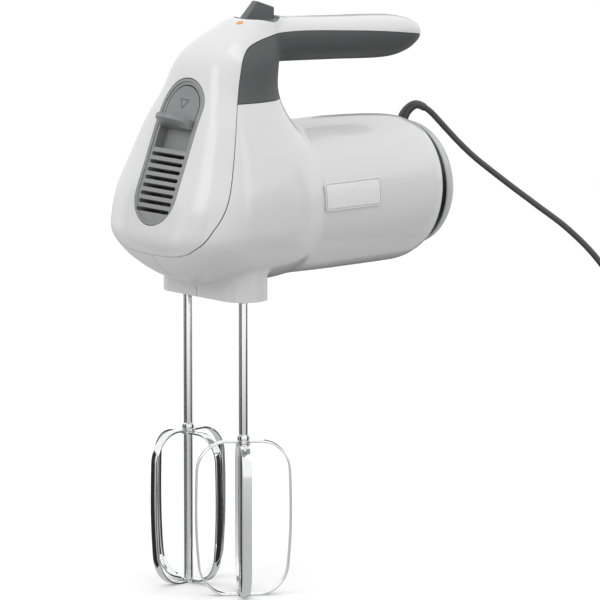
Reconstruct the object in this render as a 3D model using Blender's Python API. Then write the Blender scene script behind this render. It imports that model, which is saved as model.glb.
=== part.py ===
"""A hand mixer: a slanting nose, a straight handle that is free at its rear end, and a round motor
barrel, with two four-winged beaters. Metres, +Z up, nose towards -X, tail towards +X, standing on
its beater tips at z = 0, with the origin below the middle of the body's length.

Lengths along X are measured from the plane of the two beater axes, which the datum empty carries.
"""

import math

import bmesh
import bpy
from mathutils import Matrix, Vector, geometry

# Driving dimensions
BEATER_PLANE_X = -0.0495
BEATER_SPACING = 0.046
AXIS_Y = BEATER_SPACING / 2
GAP = 0.0003
WALL = 0.0022

# Outer form of the body: stations through which its three lofts run
# (height, front, rear, half width, place of the widest line from front to rear, squareness of the
# front) of the nose and post
NOSE = (
    (0.1675, -0.0122, 0.0400, 0.0094, 0.40, 2.4),
    (0.1695, -0.0214, 0.0480, 0.0178, 0.40, 2.5),
    (0.1740, -0.0305, 0.0530, 0.0289, 0.38, 2.6),
    (0.1800, -0.0380, 0.0580, 0.0384, 0.36, 2.7),
    (0.1870, -0.0438, 0.0620, 0.0451, 0.34, 2.8),
    (0.1950, -0.0472, 0.0650, 0.0493, 0.32, 2.9),
    (0.2030, -0.0459, 0.0670, 0.0507, 0.31, 3.0),
    (0.2180, -0.0417, 0.0669, 0.0498, 0.30, 3.1),
    (0.2360, -0.0346, 0.0580, 0.0442, 0.30, 3.1),
    (0.2550, -0.0272, 0.0410, 0.0367, 0.30, 3.1),
    (0.2700, -0.0206, 0.0350, 0.0298, 0.32, 3.0),
    (0.2870, -0.0146, 0.0376, 0.0250, 0.36, 2.8),
    (0.2960, -0.0071, 0.0398, 0.0198, 0.40, 2.6),
    (0.3035, 0.0050, 0.0430, 0.0145, 0.42, 2.4),
    (0.3070, 0.0120, 0.0450, 0.0122, 0.45, 2.4),
    (0.3080, 0.0142, 0.0440, 0.0112, 0.45, 2.4),
)
NOSE_REAR_SQUARENESS = 2.3
# (distance behind the beater axes, centre height, radius) of the barrel
BARREL = (
    (0.0040, 0.2060, 0.0350),
    (0.0300, 0.2085, 0.0400),
    (0.0600, 0.2090, 0.0414),
    (0.0900, 0.2086, 0.0411),
    (0.1120, 0.2079, 0.0404),
    (0.1240, 0.2072, 0.0394),
    (0.1302, 0.2070, 0.0374),
)
RIM_LEAN = 0.094
# (distance behind the beater axes, underside height, top height, half width) of the handle
HANDLE = (
    (0.0120, 0.2850, 0.3060, 0.0128),
    (0.0300, 0.2835, 0.3072, 0.0145),
    (0.0460, 0.2830, 0.3070, 0.0154),
    (0.0800, 0.2813, 0.3048, 0.0156),
    (0.1140, 0.2795, 0.3029, 0.0154),
    (0.1280, 0.2815, 0.3014, 0.0145),
    (0.1360, 0.2852, 0.2988, 0.0120),
    (0.1405, 0.2880, 0.2956, 0.0080),
    (0.1420, 0.2900, 0.2935, 0.0045),
)
HANDLE_SQUARENESS = 2.6
RING_POINTS = 28
NOSE_RING_POINTS = 36
# A slanting wall is thicker across than along the level section by about this much
SLANT_ALLOWANCE = 1.05

COLLAR_RADIUS = 0.013
COLLAR_BOTTOM = 0.161
COLLAR_TOP = 0.184
SOCKET_RADIUS = 0.0058

# Seam between the nose cover and the pieces behind and below it: (distance, height), from the
# handle's tip forwards and then down the side of the nose
SEAM_ON_HANDLE = (
    (0.1500, 0.2896),
    (0.1100, 0.2950),
    (0.0760, 0.2982),
    (0.0500, 0.3001),
    (0.0340, 0.3002),
    (0.0220, 0.2990),
    (0.0140, 0.2975),
    (0.0075, 0.2955),
    (0.0025, 0.2922),
    (-0.0015, 0.2875),
    (-0.0050, 0.2800),
    (-0.0082, 0.2715),
    (-0.0100, 0.2672),
)
COVER_EDGE_HEIGHT = 0.1860
SEAM_ON_NOSE = (
    (-0.0100, 0.2672),
    (-0.0155, 0.2550),
    (-0.0210, 0.2400),
    (-0.0260, 0.2265),
    (-0.0320, 0.2125),
    (-0.0375, 0.2025),
    (-0.0415, 0.1940),
    (-0.0425, 0.1895),
    (-0.0440, 0.1866),
    (-0.0480, COVER_EDGE_HEIGHT),
    (-0.0700, COVER_EDGE_HEIGHT),
)
POST_SEAM_REAR = (0.0700, 0.2652)

# Nose slope, a plane leant back from the vertical that carries the vent panel
SLOPE_CENTRE = (-0.03243, 0.0, 0.24114)
SLOPE_ANGLE = math.radians(21.5)
PANEL_LENGTH = 0.0808
PANEL_WIDTH = 0.0330
PANEL_SETBACK = 0.0006
PANEL_SKIN = 0.0024
POCKET_WIDTH = 0.0262
POCKET_BOTTOM = 0.0015
POCKET_TOP = 0.0372
POCKET_DEPTH = 0.0068
LOUVRE_COUNT = 8
LOUVRE_PITCH = 0.00434
LOUVRE_HEIGHT = 0.0019
LOUVRE_WIDTH = 0.0268
FIRST_LOUVRE = 0.0001
SLIDER_BOTTOM = 0.0132
SLIDER_CROWN = 0.0006
SHELF_LOW = 0.0156
SHELF_HIGH = 0.0182
SHELF_REACH = 0.0112
TONGUE_LOW = 0.0255
TONGUE_HIGH = 0.0300
TONGUE_SLOT_CENTRE = 0.02275
TONGUE_SLOT_LENGTH = 0.0185
TONGUE_DEPTH = 0.0170

SELECTOR_X = 0.0295
SELECTOR_RADIUS = 0.0120
SELECTOR_SINK = 0.0029
BODY_TOP = NOSE[-1][0]
FIN_TOP = 0.3168
MARK_RADIUS = 0.00145
MARK_PLACE = (0.0125, -0.0060, 0.30664)
MARK_TILT = (math.radians(14.4), math.radians(-21.9), 0.0)

# Drive train
MOTOR_HEIGHT = 0.2070
WORM_RADIUS = 0.0052
WHEEL_RADIUS = 0.0176
WHEEL_TEETH = 28
SLEEVE_RADIUS = 0.0050
SLEEVE_BORE = 0.0029
SLEEVE_TOP = 0.2188
MOTOR_SHAFT_RADIUS = 0.0025
STACK_FRONT = 0.0620
STACK_REAR = 0.0840

# Beaters
SHAFT_RADIUS = 0.0025
SHAFT_TOP = 0.2050
LOOP_WIDTH = 0.0520
LOOP_HEIGHT = 0.0845
LOOP_CORNER = 0.0160
STRIP_WIDTH = 0.0049
STRIP_THICKNESS = 0.0011
EYELET_RADIUS = 0.0038
LEFT_BEATER_TURN = math.radians(-35.5)
RIGHT_BEATER_TURN = math.radians(4.0)

# Rear end
REAR_AXIS_HEIGHT = 0.2085
HEEL_RADIUS = 0.0343
HEEL_START = 0.1368
HEEL_END = 0.1465
HEEL_ROUNDING = 0.0097
RING_RADIUS = 0.0336

# Mains cord. The route from the strain relief to the coil is chosen by hand.
CORD_DIAMETER = 0.0052
RELIEF_LENGTH = 0.0280
RELIEF_X = 0.1348
CORD_ROUTE = (
    (0.1344, 0.0000, 0.2330),
    (0.1344, 0.0000, 0.2400),
    (0.1353, -0.0001, 0.2452),
    (0.1390, -0.0005, 0.2492),
    (0.1430, -0.0018, 0.2510),
    (0.1468, -0.0040, 0.2494),
    (0.1499, -0.0070, 0.2462),
    (0.1548, -0.0120, 0.2386),
    (0.1590, -0.0185, 0.2308),
    (0.1625, -0.0255, 0.2241),
    (0.1656, -0.0325, 0.2186),
    (0.1703, -0.0490, 0.2085),
    (0.1747, -0.0660, 0.1988),
    (0.1805, -0.0840, 0.1875),
    (0.1883, -0.0990, 0.1720),
    (0.1970, -0.1095, 0.1515),
    (0.2067, -0.1174, 0.1250),
    (0.2160, -0.1233, 0.0960),
    (0.2251, -0.1278, 0.0660),
    (0.2334, -0.1302, 0.0410),
    (0.2424, -0.1311, 0.0250),
    (0.2527, -0.1312, 0.0166),
    (0.2595, -0.1306, 0.0143),
)
COIL_CENTRE = (0.2545, -0.1020)
COIL_RADIUS = 0.0286
COIL_BAND = 0.0106
PLUG_GAP = 0.0200
PLUG_LENGTH = 0.0360

# Housing screws: (distance, height) of each boss, and sides across the mixer.
SCREW_PLACES = ((0.0400, 0.1800), (-0.0270, 0.1960), (0.0120, 0.2570))
BOSS_RADIUS = 0.0038
SCREW_RADIUS = 0.0012
SCREW_HEAD_RADIUS = 0.0027
SCREW_HEAD_Y = 0.0080
SCREW_TIP_Y = -0.0120

PARTS = bpy.data.collections.new("hand_mixer")
CUTTERS = bpy.data.collections.new("hand_mixer_cutters")


def clear_scene():
    for obj in list(bpy.data.objects):
        bpy.data.objects.remove(obj, do_unlink=True)
    bpy.context.scene.collection.children.link(PARTS)
    bpy.context.scene.collection.children.link(CUTTERS)
    CUTTERS.hide_render = True


def material(name, colour, roughness, metallic=0.0):
    made = bpy.data.materials.new(name)
    made.use_nodes = True
    shader = made.node_tree.nodes["Principled BSDF"]
    shader.inputs["Base Color"].default_value = (*colour, 1.0)
    shader.inputs["Roughness"].default_value = roughness
    shader.inputs["Metallic"].default_value = metallic
    return made


def empty(name, parent=None, location=(0.0, 0.0, 0.0), rotation=(0.0, 0.0, 0.0)):
    made = bpy.data.objects.new(name, None)
    made.empty_display_size = 0.01
    PARTS.objects.link(made)
    made.parent = parent
    made.location = location
    made.rotation_euler = rotation
    return made


def piece(name, mesh, look, parent, location=(0.0, 0.0, 0.0), rotation=(0.0, 0.0, 0.0)):
    """A part of the mixer, under its parent empty, with one material."""
    made = bpy.data.objects.new(name, mesh)
    PARTS.objects.link(made)
    made.parent = parent
    made.location = location
    made.rotation_euler = rotation
    made.data.materials.clear()
    made.data.materials.append(look)
    if isinstance(made.data, bpy.types.Mesh):
        made.data.shade_smooth()
        made.data.set_sharp_from_angle(angle=math.radians(35))
    return made


def cutter(name, mesh, parent, location=(0.0, 0.0, 0.0), rotation=(0.0, 0.0, 0.0)):
    """A helper solid for Boolean modifiers."""
    made = bpy.data.objects.new(name, mesh)
    CUTTERS.objects.link(made)
    made.parent = parent
    made.location = location
    made.rotation_euler = rotation
    made.hide_render = True
    made.display_type = "WIRE"
    return made


def combine(target, other, operation="DIFFERENCE"):
    modifier = target.modifiers.new(f"{operation.title()} {other.name}", "BOOLEAN")
    modifier.operation = operation
    modifier.solver = "EXACT"
    modifier.object = other


def finished_mesh(name, form):
    mesh = bpy.data.meshes.new(name)
    bmesh.ops.recalc_face_normals(form, faces=form.faces)
    form.to_mesh(mesh)
    form.free()
    return mesh


def loft(name, rings):
    """A closed skin over rings that have the same number of points."""
    form = bmesh.new()
    rows = [[form.verts.new(point) for point in ring] for ring in rings]
    for lower, upper in zip(rows, rows[1:]):
        for i in range(len(lower)):
            j = (i + 1) % len(lower)
            form.faces.new((lower[i], lower[j], upper[j], upper[i]))
    form.faces.new(rows[0])
    form.faces.new(rows[-1])
    return finished_mesh(name, form)


def prism(name, outline, axis, low, high):
    """An outline of two coordinates, extruded from low to high along the axis left out of it."""
    order = {"X": (2, 0, 1), "Y": (0, 2, 1), "Z": (0, 1, 2)}[axis]

    def placed(point, depth):
        both = (*point, depth)
        return tuple(both[i] for i in order)

    return loft(name, [[placed(p, low) for p in outline], [placed(p, high) for p in outline]])


def turned(name, profile, segments=24):
    """A closed profile of (radius, height) turned about Z."""
    form = bmesh.new()
    corners = [form.verts.new((radius, 0.0, height)) for radius, height in profile]
    edges = [form.edges.new((a, b)) for a, b in zip(corners, corners[1:] + corners[:1])]
    bmesh.ops.spin(
        form, geom=edges, cent=(0, 0, 0), axis=(0, 0, 1), angle=2 * math.pi, steps=segments, use_merge=True
    )
    bmesh.ops.remove_doubles(form, verts=form.verts, dist=1e-6)
    bmesh.ops.dissolve_degenerate(form, edges=form.edges, dist=1e-7)
    return finished_mesh(name, form)


def block(name, low, high):
    """A box between two corners."""
    low, high = Vector(low), Vector(high)
    form = bmesh.new()
    bmesh.ops.create_cube(form, size=1.0)
    bmesh.ops.scale(form, vec=high - low, verts=form.verts)
    bmesh.ops.translate(form, vec=(low + high) / 2, verts=form.verts)
    return finished_mesh(name, form)


def oval(half_a, half_b, squareness, count=RING_POINTS):
    """Points of a superellipse."""
    points = []
    for step in range(count):
        angle = 2 * math.pi * step / count
        c, s = math.cos(angle), math.sin(angle)
        a = math.copysign(abs(c) ** (2 / squareness), c) * half_a
        b = math.copysign(abs(s) ** (2 / squareness), s) * half_b
        points.append((a, b))
    return points


def rounded_rectangle(width, height, corner, arc_steps=5):
    points = []
    for quarter, (sx, sy) in enumerate(((1, 1), (-1, 1), (-1, -1), (1, -1))):
        for step in range(arc_steps + 1):
            angle = math.pi / 2 * (quarter + step / arc_steps)
            x = sx * (width / 2 - corner) + corner * math.cos(angle)
            points.append((x, sy * (height / 2 - corner) + corner * math.sin(angle)))
    return points


def stadium(length, radius, arc_steps=10):
    """A slot outline along its second coordinate, length end to end."""
    points = []
    for end in (0, 1):
        centre = (length / 2 - radius) * (1 if end == 0 else -1)
        for step in range(arc_steps + 1):
            angle = math.pi * (end + step / arc_steps)
            points.append((radius * math.cos(angle), centre + radius * math.sin(angle)))
    return points


def smooth_line(points, steps=4):
    """A Catmull-Rom curve through the points."""
    points = [Vector(p) for p in points]
    padded = [2 * points[0] - points[1], *points, 2 * points[-1] - points[-2]]
    line = []
    for a, b, c, d in zip(padded, padded[1:], padded[2:], padded[3:]):
        for step in range(steps):
            t = step / steps
            bend = 2 * a - 5 * b + 4 * c - d
            line.append(0.5 * (2 * b + (c - a) * t + bend * t**2 + (3 * b - a - 3 * c + d) * t**3))
    line.append(points[-1])
    return line


def shifted_line(points, distance):
    """The line moved sideways, to its left when distance is positive."""
    moved = []
    for i, point in enumerate(points):
        along = (points[min(i + 1, len(points) - 1)] - points[max(i - 1, 0)]).normalized()
        moved.append(point + distance * Vector((-along.y, along.x)))
    return moved


def mitred(first, second):
    """Two lines run together, meeting where the first one's end and the second one's start cross."""
    ends = [point.to_3d() for point in (first[-2], first[-1], second[0], second[1])]
    corner = geometry.intersect_line_line(*ends)[0].to_2d()
    return first[:-1] + [corner] + second[1:]


def nose_ring(front, rear, half_width, share, squareness, height):
    """A level section of the nose, blunt in front of its widest line and rounder behind it."""
    widest = front + share * (rear - front)
    ring = []
    for c, s in oval(1.0, 1.0, 2.0, NOSE_RING_POINTS):
        reach, power = (widest - front, squareness) if c < 0 else (rear - widest, NOSE_REAR_SQUARENESS)
        x = widest + math.copysign(abs(c) ** (2 / power), c) * reach
        y = math.copysign(abs(s) ** (2 / power), s) * half_width
        ring.append((x, y, height))
    return ring


def nose_form(name, inset=0.0):
    bottom, top = NOSE[0][0], NOSE[-1][0]
    squeeze = (top - bottom - 2 * inset) / (top - bottom)
    rings = []
    for height, front, rear, half_width, share, squareness in NOSE:
        z = bottom + inset + (height - bottom) * squeeze
        side = inset * SLANT_ALLOWANCE
        rings.append(nose_ring(front + side, rear - side, half_width - side, share, squareness, z))
    return loft(name, rings)


def barrel_form(name, inset=0.0, through=0.0):
    """The motor barrel; through lengthens it past its rim, for the cavity."""
    start, rim = BARREL[0][0], BARREL[-1][0]
    rings = []
    stations = list(BARREL)
    if through:
        stations.append((rim + through, BARREL[-1][1], BARREL[-1][2]))
    for x, height, radius in stations:
        lean = RIM_LEAN * min(1.0, (x - start) / (rim - start)) ** 3
        ring = [(a, b) for a, b in oval(radius - inset, radius - inset, 2.0)]
        rings.append([(x + (inset if x == start else 0.0) + lean * b, a, height + b) for a, b in ring])
    return loft(name, rings)


def handle_form(name, inset=0.0):
    start, end = HANDLE[0][0], HANDLE[-1][0]
    squeeze = (end - start - 2 * inset) / (end - start)
    rings = []
    for x, underside, top, half_width in HANDLE:
        placed_x = start + inset + (x - start) * squeeze
        middle = (underside + top) / 2
        half_height = max((top - underside) / 2 - inset, 0.0008)
        half = max(half_width - inset, 0.0012)
        rings.append([(placed_x, a, middle + b) for a, b in oval(half, half_height, HANDLE_SQUARENESS, 22)])
    return loft(name, rings)


def collar_form(name, inset=0.0):
    radius = COLLAR_RADIUS - inset
    outline = stadium(BEATER_SPACING + 2 * radius, radius, 9)
    return prism(name, outline, "Z", COLLAR_BOTTOM + inset, COLLAR_TOP)


def body_form(name, datum, inset=0.0, through=0.0):
    """The nose, barrel, handle and collar joined into one solid mesh."""
    whole = cutter(name, nose_form(name, inset), datum)
    others = [
        cutter(name + "_barrel", barrel_form(name + "_barrel", inset, through), datum),
        cutter(name + "_handle", handle_form(name + "_handle", inset), datum),
        cutter(name + "_collar", collar_form(name + "_collar", inset), datum),
    ]
    for other in others:
        combine(whole, other, "UNION")
    bpy.context.view_layer.update()
    graph = bpy.context.evaluated_depsgraph_get()
    joined = bpy.data.meshes.new_from_object(whole.evaluated_get(graph))
    for helper in (whole, *others):
        bpy.data.objects.remove(helper, do_unlink=True)
    joined.name = name
    return joined


def region(name, datum, outline):
    """A wide solid across the whole body, from an outline of (distance, height)."""
    return cutter(name, prism(name, outline, "Y", -0.08, 0.08), datum)


def make_regions(datum):
    """What each moulding takes of the body's skin, kept half a gap away from the seams."""
    upper = smooth_line(SEAM_ON_HANDLE)
    lower = smooth_line(SEAM_ON_NOSE)
    post = [Vector(SEAM_ON_NOSE[0]), Vector(POST_SEAM_REAR)]
    whole_seam = upper + lower[1:]
    half = GAP / 2
    front, rear, above, below = -0.09, 0.17, 0.34, 0.13
    cover = shifted_line(whole_seam, -half) + [Vector((front, COVER_EDGE_HEIGHT + half))]
    cover += [Vector((front, above)), Vector((rear, above)), Vector((rear, 0.2896))]
    grip = mitred(shifted_line(upper, half), shifted_line(post, half))
    grip += [Vector((rear, POST_SEAM_REAR[1])), Vector((rear, 0.2880))]
    housing = mitred(list(reversed(shifted_line(post, -half))), shifted_line(lower, half))
    housing += [Vector((front, COVER_EDGE_HEIGHT - half)), Vector((front, below))]
    housing += [Vector((rear, below)), Vector((rear, POST_SEAM_REAR[1] - GAP))]
    return (
        region("cover_region", datum, cover),
        region("grip_region", datum, grip),
        region("housing_region", datum, housing),
    )


def make_cavity(datum):
    """The space inside the skin, which leaves the screw bosses standing across it."""
    cavity = cutter("cavity", body_form("cavity", datum, WALL, 0.02), datum)
    for number, (x, z) in enumerate(SCREW_PLACES):
        boss_mesh = turned(f"boss_{number}", cylinder_profile(BOSS_RADIUS, -0.06, 0.06), 14)
        boss = cutter(f"boss_{number}", boss_mesh, datum, (x, 0.0, z), (math.pi / 2, 0.0, 0.0))
        combine(cavity, boss)
    return cavity


def make_relief_hole(datum):
    """The notch through the barrel's rim, the rear ring and the heel cap that the cord comes out of."""
    hole = turned("relief_hole", cylinder_profile(0.0042, 0.232, 0.255), 16)
    return cutter("relief_hole", hole, datum, (RELIEF_X, 0.0, 0.0))


def make_housings(datum, skin, cavity, housing_region, relief_hole, look):
    for side, name in ((-1, "left_housing"), (1, "right_housing")):
        half_low, half_high = sorted((side * GAP / 2, side * 0.07))
        side_block = block(f"{name}_side", (-0.1, half_low, 0.1), (0.18, half_high, 0.35))
        half = cutter(f"{name}_side", side_block, datum)
        made = piece(name, skin.copy(), look, datum)
        combine(made, cavity)
        combine(made, housing_region, "INTERSECT")
        combine(made, half, "INTERSECT")
        combine(made, relief_hole)
        socket_mesh = turned(f"{name}_socket", cylinder_profile(SOCKET_RADIUS, 0.15, 0.175), 24)
        combine(made, cutter(f"{name}_socket", socket_mesh, datum, (0.0, side * AXIS_Y, 0.0)))
        for number, (x, z) in enumerate(SCREW_PLACES):
            drill = cutter(
                f"{name}_drill_{number}", screw_hole(side), datum, (x, 0.0, z), (-math.pi / 2, 0.0, 0.0)
            )
            combine(made, drill)


def cylinder_profile(radius, low, high):
    return ((0.0, low), (radius, low), (radius, high), (0.0, high))


def screw_hole(side):
    """A blind pilot hole in the left half, a clearance hole and head recess in the right half."""
    shank = SCREW_RADIUS + GAP
    if side < 0:
        return turned("pilot_hole", cylinder_profile(shank, SCREW_TIP_Y - 0.001, 0.005), 12)
    head = SCREW_HEAD_RADIUS + 2 * GAP
    profile = ((0.0, -0.005), (shank, -0.005), (shank, SCREW_HEAD_Y - GAP), (head, SCREW_HEAD_Y - GAP))
    return turned("head_recess", (*profile, (head, 0.06), (0.0, 0.06)), 12)


def make_screws(datum, look):
    for number, (x, z) in enumerate(SCREW_PLACES, 1):
        profile = (
            (0.0, SCREW_TIP_Y),
            (SCREW_RADIUS, SCREW_TIP_Y + 0.001),
            (SCREW_RADIUS, SCREW_HEAD_Y),
            (SCREW_HEAD_RADIUS, SCREW_HEAD_Y),
            (SCREW_HEAD_RADIUS, SCREW_HEAD_Y + 0.0014),
            (0.0, SCREW_HEAD_Y + 0.0020),
        )
        screw = turned("screw", profile, 12)
        piece(f"housing_screw_{number}", screw, look, datum, (x, 0.0, z), (-math.pi / 2, 0.0, 0.0))


def make_cover_and_grip(datum, slope, skin, cavity, cover_region, grip_region, white, grey):
    cover = piece("nose_cover", skin.copy(), white, datum)
    combine(cover, cavity)
    combine(cover, cover_region, "INTERSECT")
    window = stadium(PANEL_LENGTH + 2 * GAP, PANEL_WIDTH / 2 + GAP, 12)
    combine(cover, cutter("vent_window", prism("vent_window", window, "Z", -0.02, 0.02), slope))
    selector_hole = turned("selector_hole", cylinder_profile(SELECTOR_RADIUS + GAP, 0.295, 0.32), 40)
    combine(cover, cutter("selector_hole", selector_hole, datum, (SELECTOR_X, 0.0, 0.0)))
    mark_seat = turned("mark_seat", cylinder_profile(MARK_RADIUS + GAP, -0.0012, 0.004), 16)
    combine(cover, cutter("mark_seat", mark_seat, datum, MARK_PLACE, MARK_TILT))
    grip = piece("handle_grip", skin.copy(), grey, datum)
    combine(grip, cavity)
    combine(grip, grip_region, "INTERSECT")


def pocket_outline(width, bottom, top):
    """A pocket with a square lower end and a round upper end, in slope coordinates."""
    radius = width / 2
    points = [(-radius, bottom), (radius, bottom)]
    for step in range(13):
        angle = math.pi * step / 12
        points.append((radius * math.cos(angle), top - radius + radius * math.sin(angle)))
    return points


def make_vent_panel(datum, slope, look):
    """A curved plate flush with the nose, with a pocket for the slider and louvre slots below it."""
    outline = stadium(PANEL_LENGTH, PANEL_WIDTH / 2, 12)
    panel = piece("vent_panel", prism("vent_panel", outline, "Z", -0.0088, 0.012), look, slope)
    combine(panel, cutter("panel_face", nose_form("panel_face", PANEL_SETBACK), datum), "INTERSECT")
    behind = cutter("panel_back", nose_form("panel_back", PANEL_SETBACK + PANEL_SKIN), datum)
    lower_block = block("panel_lower", (-0.03, -0.05, -0.03), (0.03, POCKET_BOTTOM - 0.002, 0.03))
    below = cutter("panel_lower", lower_block, slope)
    combine(behind, below, "INTERSECT")
    combine(panel, behind)
    outline = pocket_outline(POCKET_WIDTH, POCKET_BOTTOM, POCKET_TOP)
    pocket = prism("slider_pocket", outline, "Z", -POCKET_DEPTH, 0.03)
    combine(panel, cutter("slider_pocket", pocket, slope))
    slot = prism("tongue_slot", stadium(TONGUE_SLOT_LENGTH, 0.0030, 5), "Z", -0.02, 0.0)
    combine(panel, cutter("tongue_slot", slot, slope, (0.0, TONGUE_SLOT_CENTRE, 0.0)))
    for number in range(LOUVRE_COUNT):
        y = FIRST_LOUVRE - LOUVRE_PITCH * (number + 0.5)
        outline = [(b, -a) for a, b in stadium(LOUVRE_WIDTH, LOUVRE_HEIGHT / 2, 3)]
        louvre = prism("louvre", outline, "Z", -0.02, 0.02)
        combine(panel, cutter(f"louvre_{number + 1}", louvre, slope, (0.0, y, 0.0)))


def make_eject_slider(datum, slope, look):
    """The thumb slider: a crowned plate, a D-shaped shelf at its lower end and a tongue behind it."""
    width = POCKET_WIDTH - 0.0008
    floor = -POCKET_DEPTH + 0.0006
    top = POCKET_TOP - 0.0004
    plate = prism("eject_slider", pocket_outline(width, SLIDER_BOTTOM, top), "Z", floor, 0.02)
    slider = piece("eject_slider", plate, look, slope)
    face = nose_form("slider_face", PANEL_SETBACK + SLIDER_CROWN)
    combine(slider, cutter("slider_face", face, datum), "INTERSECT")
    half = width / 2 - 0.0004
    outline = [(-half, -0.0050), (half, -0.0050)]
    for step in range(15):
        angle = math.pi * step / 14
        outline.append(((half + 0.0007) * math.cos(angle), 0.0002 + SHELF_REACH * math.sin(angle)))
    shelf = prism("slider_shelf", outline, "Y", SHELF_LOW, SHELF_HIGH)
    combine(slider, cutter("slider_shelf", shelf, slope), "UNION")
    tongue_low = (-0.0022, TONGUE_LOW, -TONGUE_DEPTH)
    tongue = block("slider_tongue", tongue_low, (0.0022, TONGUE_HIGH, floor + 0.001))
    combine(slider, cutter("slider_tongue", tongue, slope), "UNION")


def make_selector(datum, grey, orange):
    """A disc sunk in a round hole of the cover, level with the sides of its crown, with a fin on it."""
    axis = empty("selector_axis", datum, (SELECTOR_X, 0.0, BODY_TOP - SELECTOR_SINK))
    profile = (
        (0.0, -0.0058),
        (0.0030, -0.0058),
        (0.0030, 0.0),
        (SELECTOR_RADIUS - 0.0004, 0.0),
        (SELECTOR_RADIUS, 0.0004),
        (SELECTOR_RADIUS - 0.0003, 0.0012),
        (SELECTOR_RADIUS - 0.0012, 0.0016),
        (0.0, 0.0016),
    )
    knob = piece("speed_selector", turned("speed_selector", profile, 40), grey, axis)
    rise = FIN_TOP - BODY_TOP + SELECTOR_SINK
    side = ((-0.0118, 0.0010), (0.0100, 0.0010), (0.0108, rise - 0.0042), (-0.0014, rise))
    middle = Vector((0.0, 0.004))
    rings = []
    for y, squeeze in ((-0.0028, 0.94), (-0.0022, 1.0), (0.0022, 1.0), (0.0028, 0.94)):
        outline = [middle + (Vector(corner) - middle) * squeeze for corner in side]
        rings.append([(x, y, z) for x, z in outline])
    combine(knob, cutter("selector_fin", loft("selector_fin", rings), axis), "UNION")
    dot = turned("selector_mark", cylinder_profile(MARK_RADIUS, -0.0009, 0.0003), 16)
    piece("selector_mark", dot, orange, datum, MARK_PLACE, MARK_TILT)


def make_badge(datum, look):
    outline = [(x + 0.0620, z + 0.2136) for x, z in rounded_rectangle(0.0400, 0.0152, 0.0022, 4)]
    badge = piece("side_badge", prism("side_badge", outline, "Y", -0.055, -0.030), look, datum)
    combine(badge, cutter("badge_face", barrel_form("badge_face", -0.0013), datum), "INTERSECT")
    combine(badge, cutter("badge_back", barrel_form("badge_back", -GAP), datum))


def make_rear(datum, relief_hole, black, grey):
    """The black ring in the barrel's mouth and the heel cap that the mixer rests on."""
    facing_back = (0.0, math.pi / 2, 0.0)
    start = 0.1215
    ring_end = HEEL_START - GAP
    ring_profile = ((0.0285, start), (RING_RADIUS, start), (RING_RADIUS, ring_end), (0.0285, ring_end))
    place = (0.0, 0.0, REAR_AXIS_HEIGHT)
    ring = piece("rear_ring", turned("rear_ring", ring_profile, 36), black, datum, place, facing_back)
    combine(ring, relief_hole)
    outer = [(HEEL_RADIUS, HEEL_START)]
    centre = (HEEL_RADIUS - HEEL_ROUNDING, HEEL_END - HEEL_ROUNDING)
    for step in range(7):
        angle = math.pi / 2 * step / 6
        out, back = HEEL_ROUNDING * math.cos(angle), HEEL_ROUNDING * math.sin(angle)
        outer.append((centre[0] + out, centre[1] + back))
    inner = [(0.0, HEEL_END), (0.0, HEEL_END - WALL), (centre[0], HEEL_END - WALL)]
    inner += [(HEEL_RADIUS - WALL, HEEL_START + 0.0012), (HEEL_RADIUS - WALL, HEEL_START)]
    cap = piece("heel_cap", turned("heel_cap", outer + inner, 36), grey, datum, place, facing_back)
    combine(cap, relief_hole)


def round_tube(name, route, radii, sides):
    curve = bpy.data.curves.new(name, "CURVE")
    curve.dimensions = "3D"
    curve.bevel_depth = 1.0
    curve.bevel_resolution = sides
    curve.use_fill_caps = True
    spline = curve.splines.new("POLY")
    spline.points.add(len(route) - 1)
    for point, place, radius in zip(spline.points, route, radii):
        point.co = (*place, 1.0)
        point.radius = radius
    return curve


def line_length(points):
    return sum((b - a).length for a, b in zip(points, points[1:]))


def points_along(line, distances):
    """The points at these distances, in rising order, along a finely divided line."""
    points, travelled, wanted = [], 0.0, list(distances)
    for a, b in zip(line, line[1:]):
        length = (b - a).length
        while wanted and travelled + length >= wanted[0]:
            points.append(a.lerp(b, (wanted.pop(0) - travelled) / length))
        travelled += length
    return points + [line[-1]] * len(wanted)


def make_cord(datum, black):
    """The strain relief, then the free cord down to the coil, both along one smooth route."""
    fine = smooth_line(CORD_ROUTE, 24)
    end = line_length(fine)
    cap = 0.0006
    relief_steps = 10
    along = [(RELIEF_LENGTH - cap) * i / relief_steps for i in range(relief_steps + 1)] + [RELIEF_LENGTH]
    radii = [0.0035 - 0.0007 * distance / RELIEF_LENGTH for distance in along]
    piece("strain_relief", round_tube("strain_relief", points_along(fine, along), radii, 2), black, datum)
    start = RELIEF_LENGTH + GAP
    steps = round((end - start) / (2.4 * CORD_DIAMETER))
    along = [start] + [start + cap + (end - start - cap) * i / steps for i in range(steps + 1)]
    radii = [CORD_DIAMETER / 2] * len(along)
    piece("mains_cord", round_tube("mains_cord", points_along(fine, along), radii, 2), black, datum)
    half = COIL_BAND / 2
    coil_profile = []
    for step in range(8):
        angle = 2 * math.pi * (step + 0.5) / 8
        reach = half / math.cos(math.pi / 8)
        coil_profile.append((COIL_RADIUS + reach * math.cos(angle), half + reach * math.sin(angle)))
    coil = turned("cord_coil", coil_profile, 32)
    piece("cord_coil", coil, black, datum, (*COIL_CENTRE, 0.0))


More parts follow.
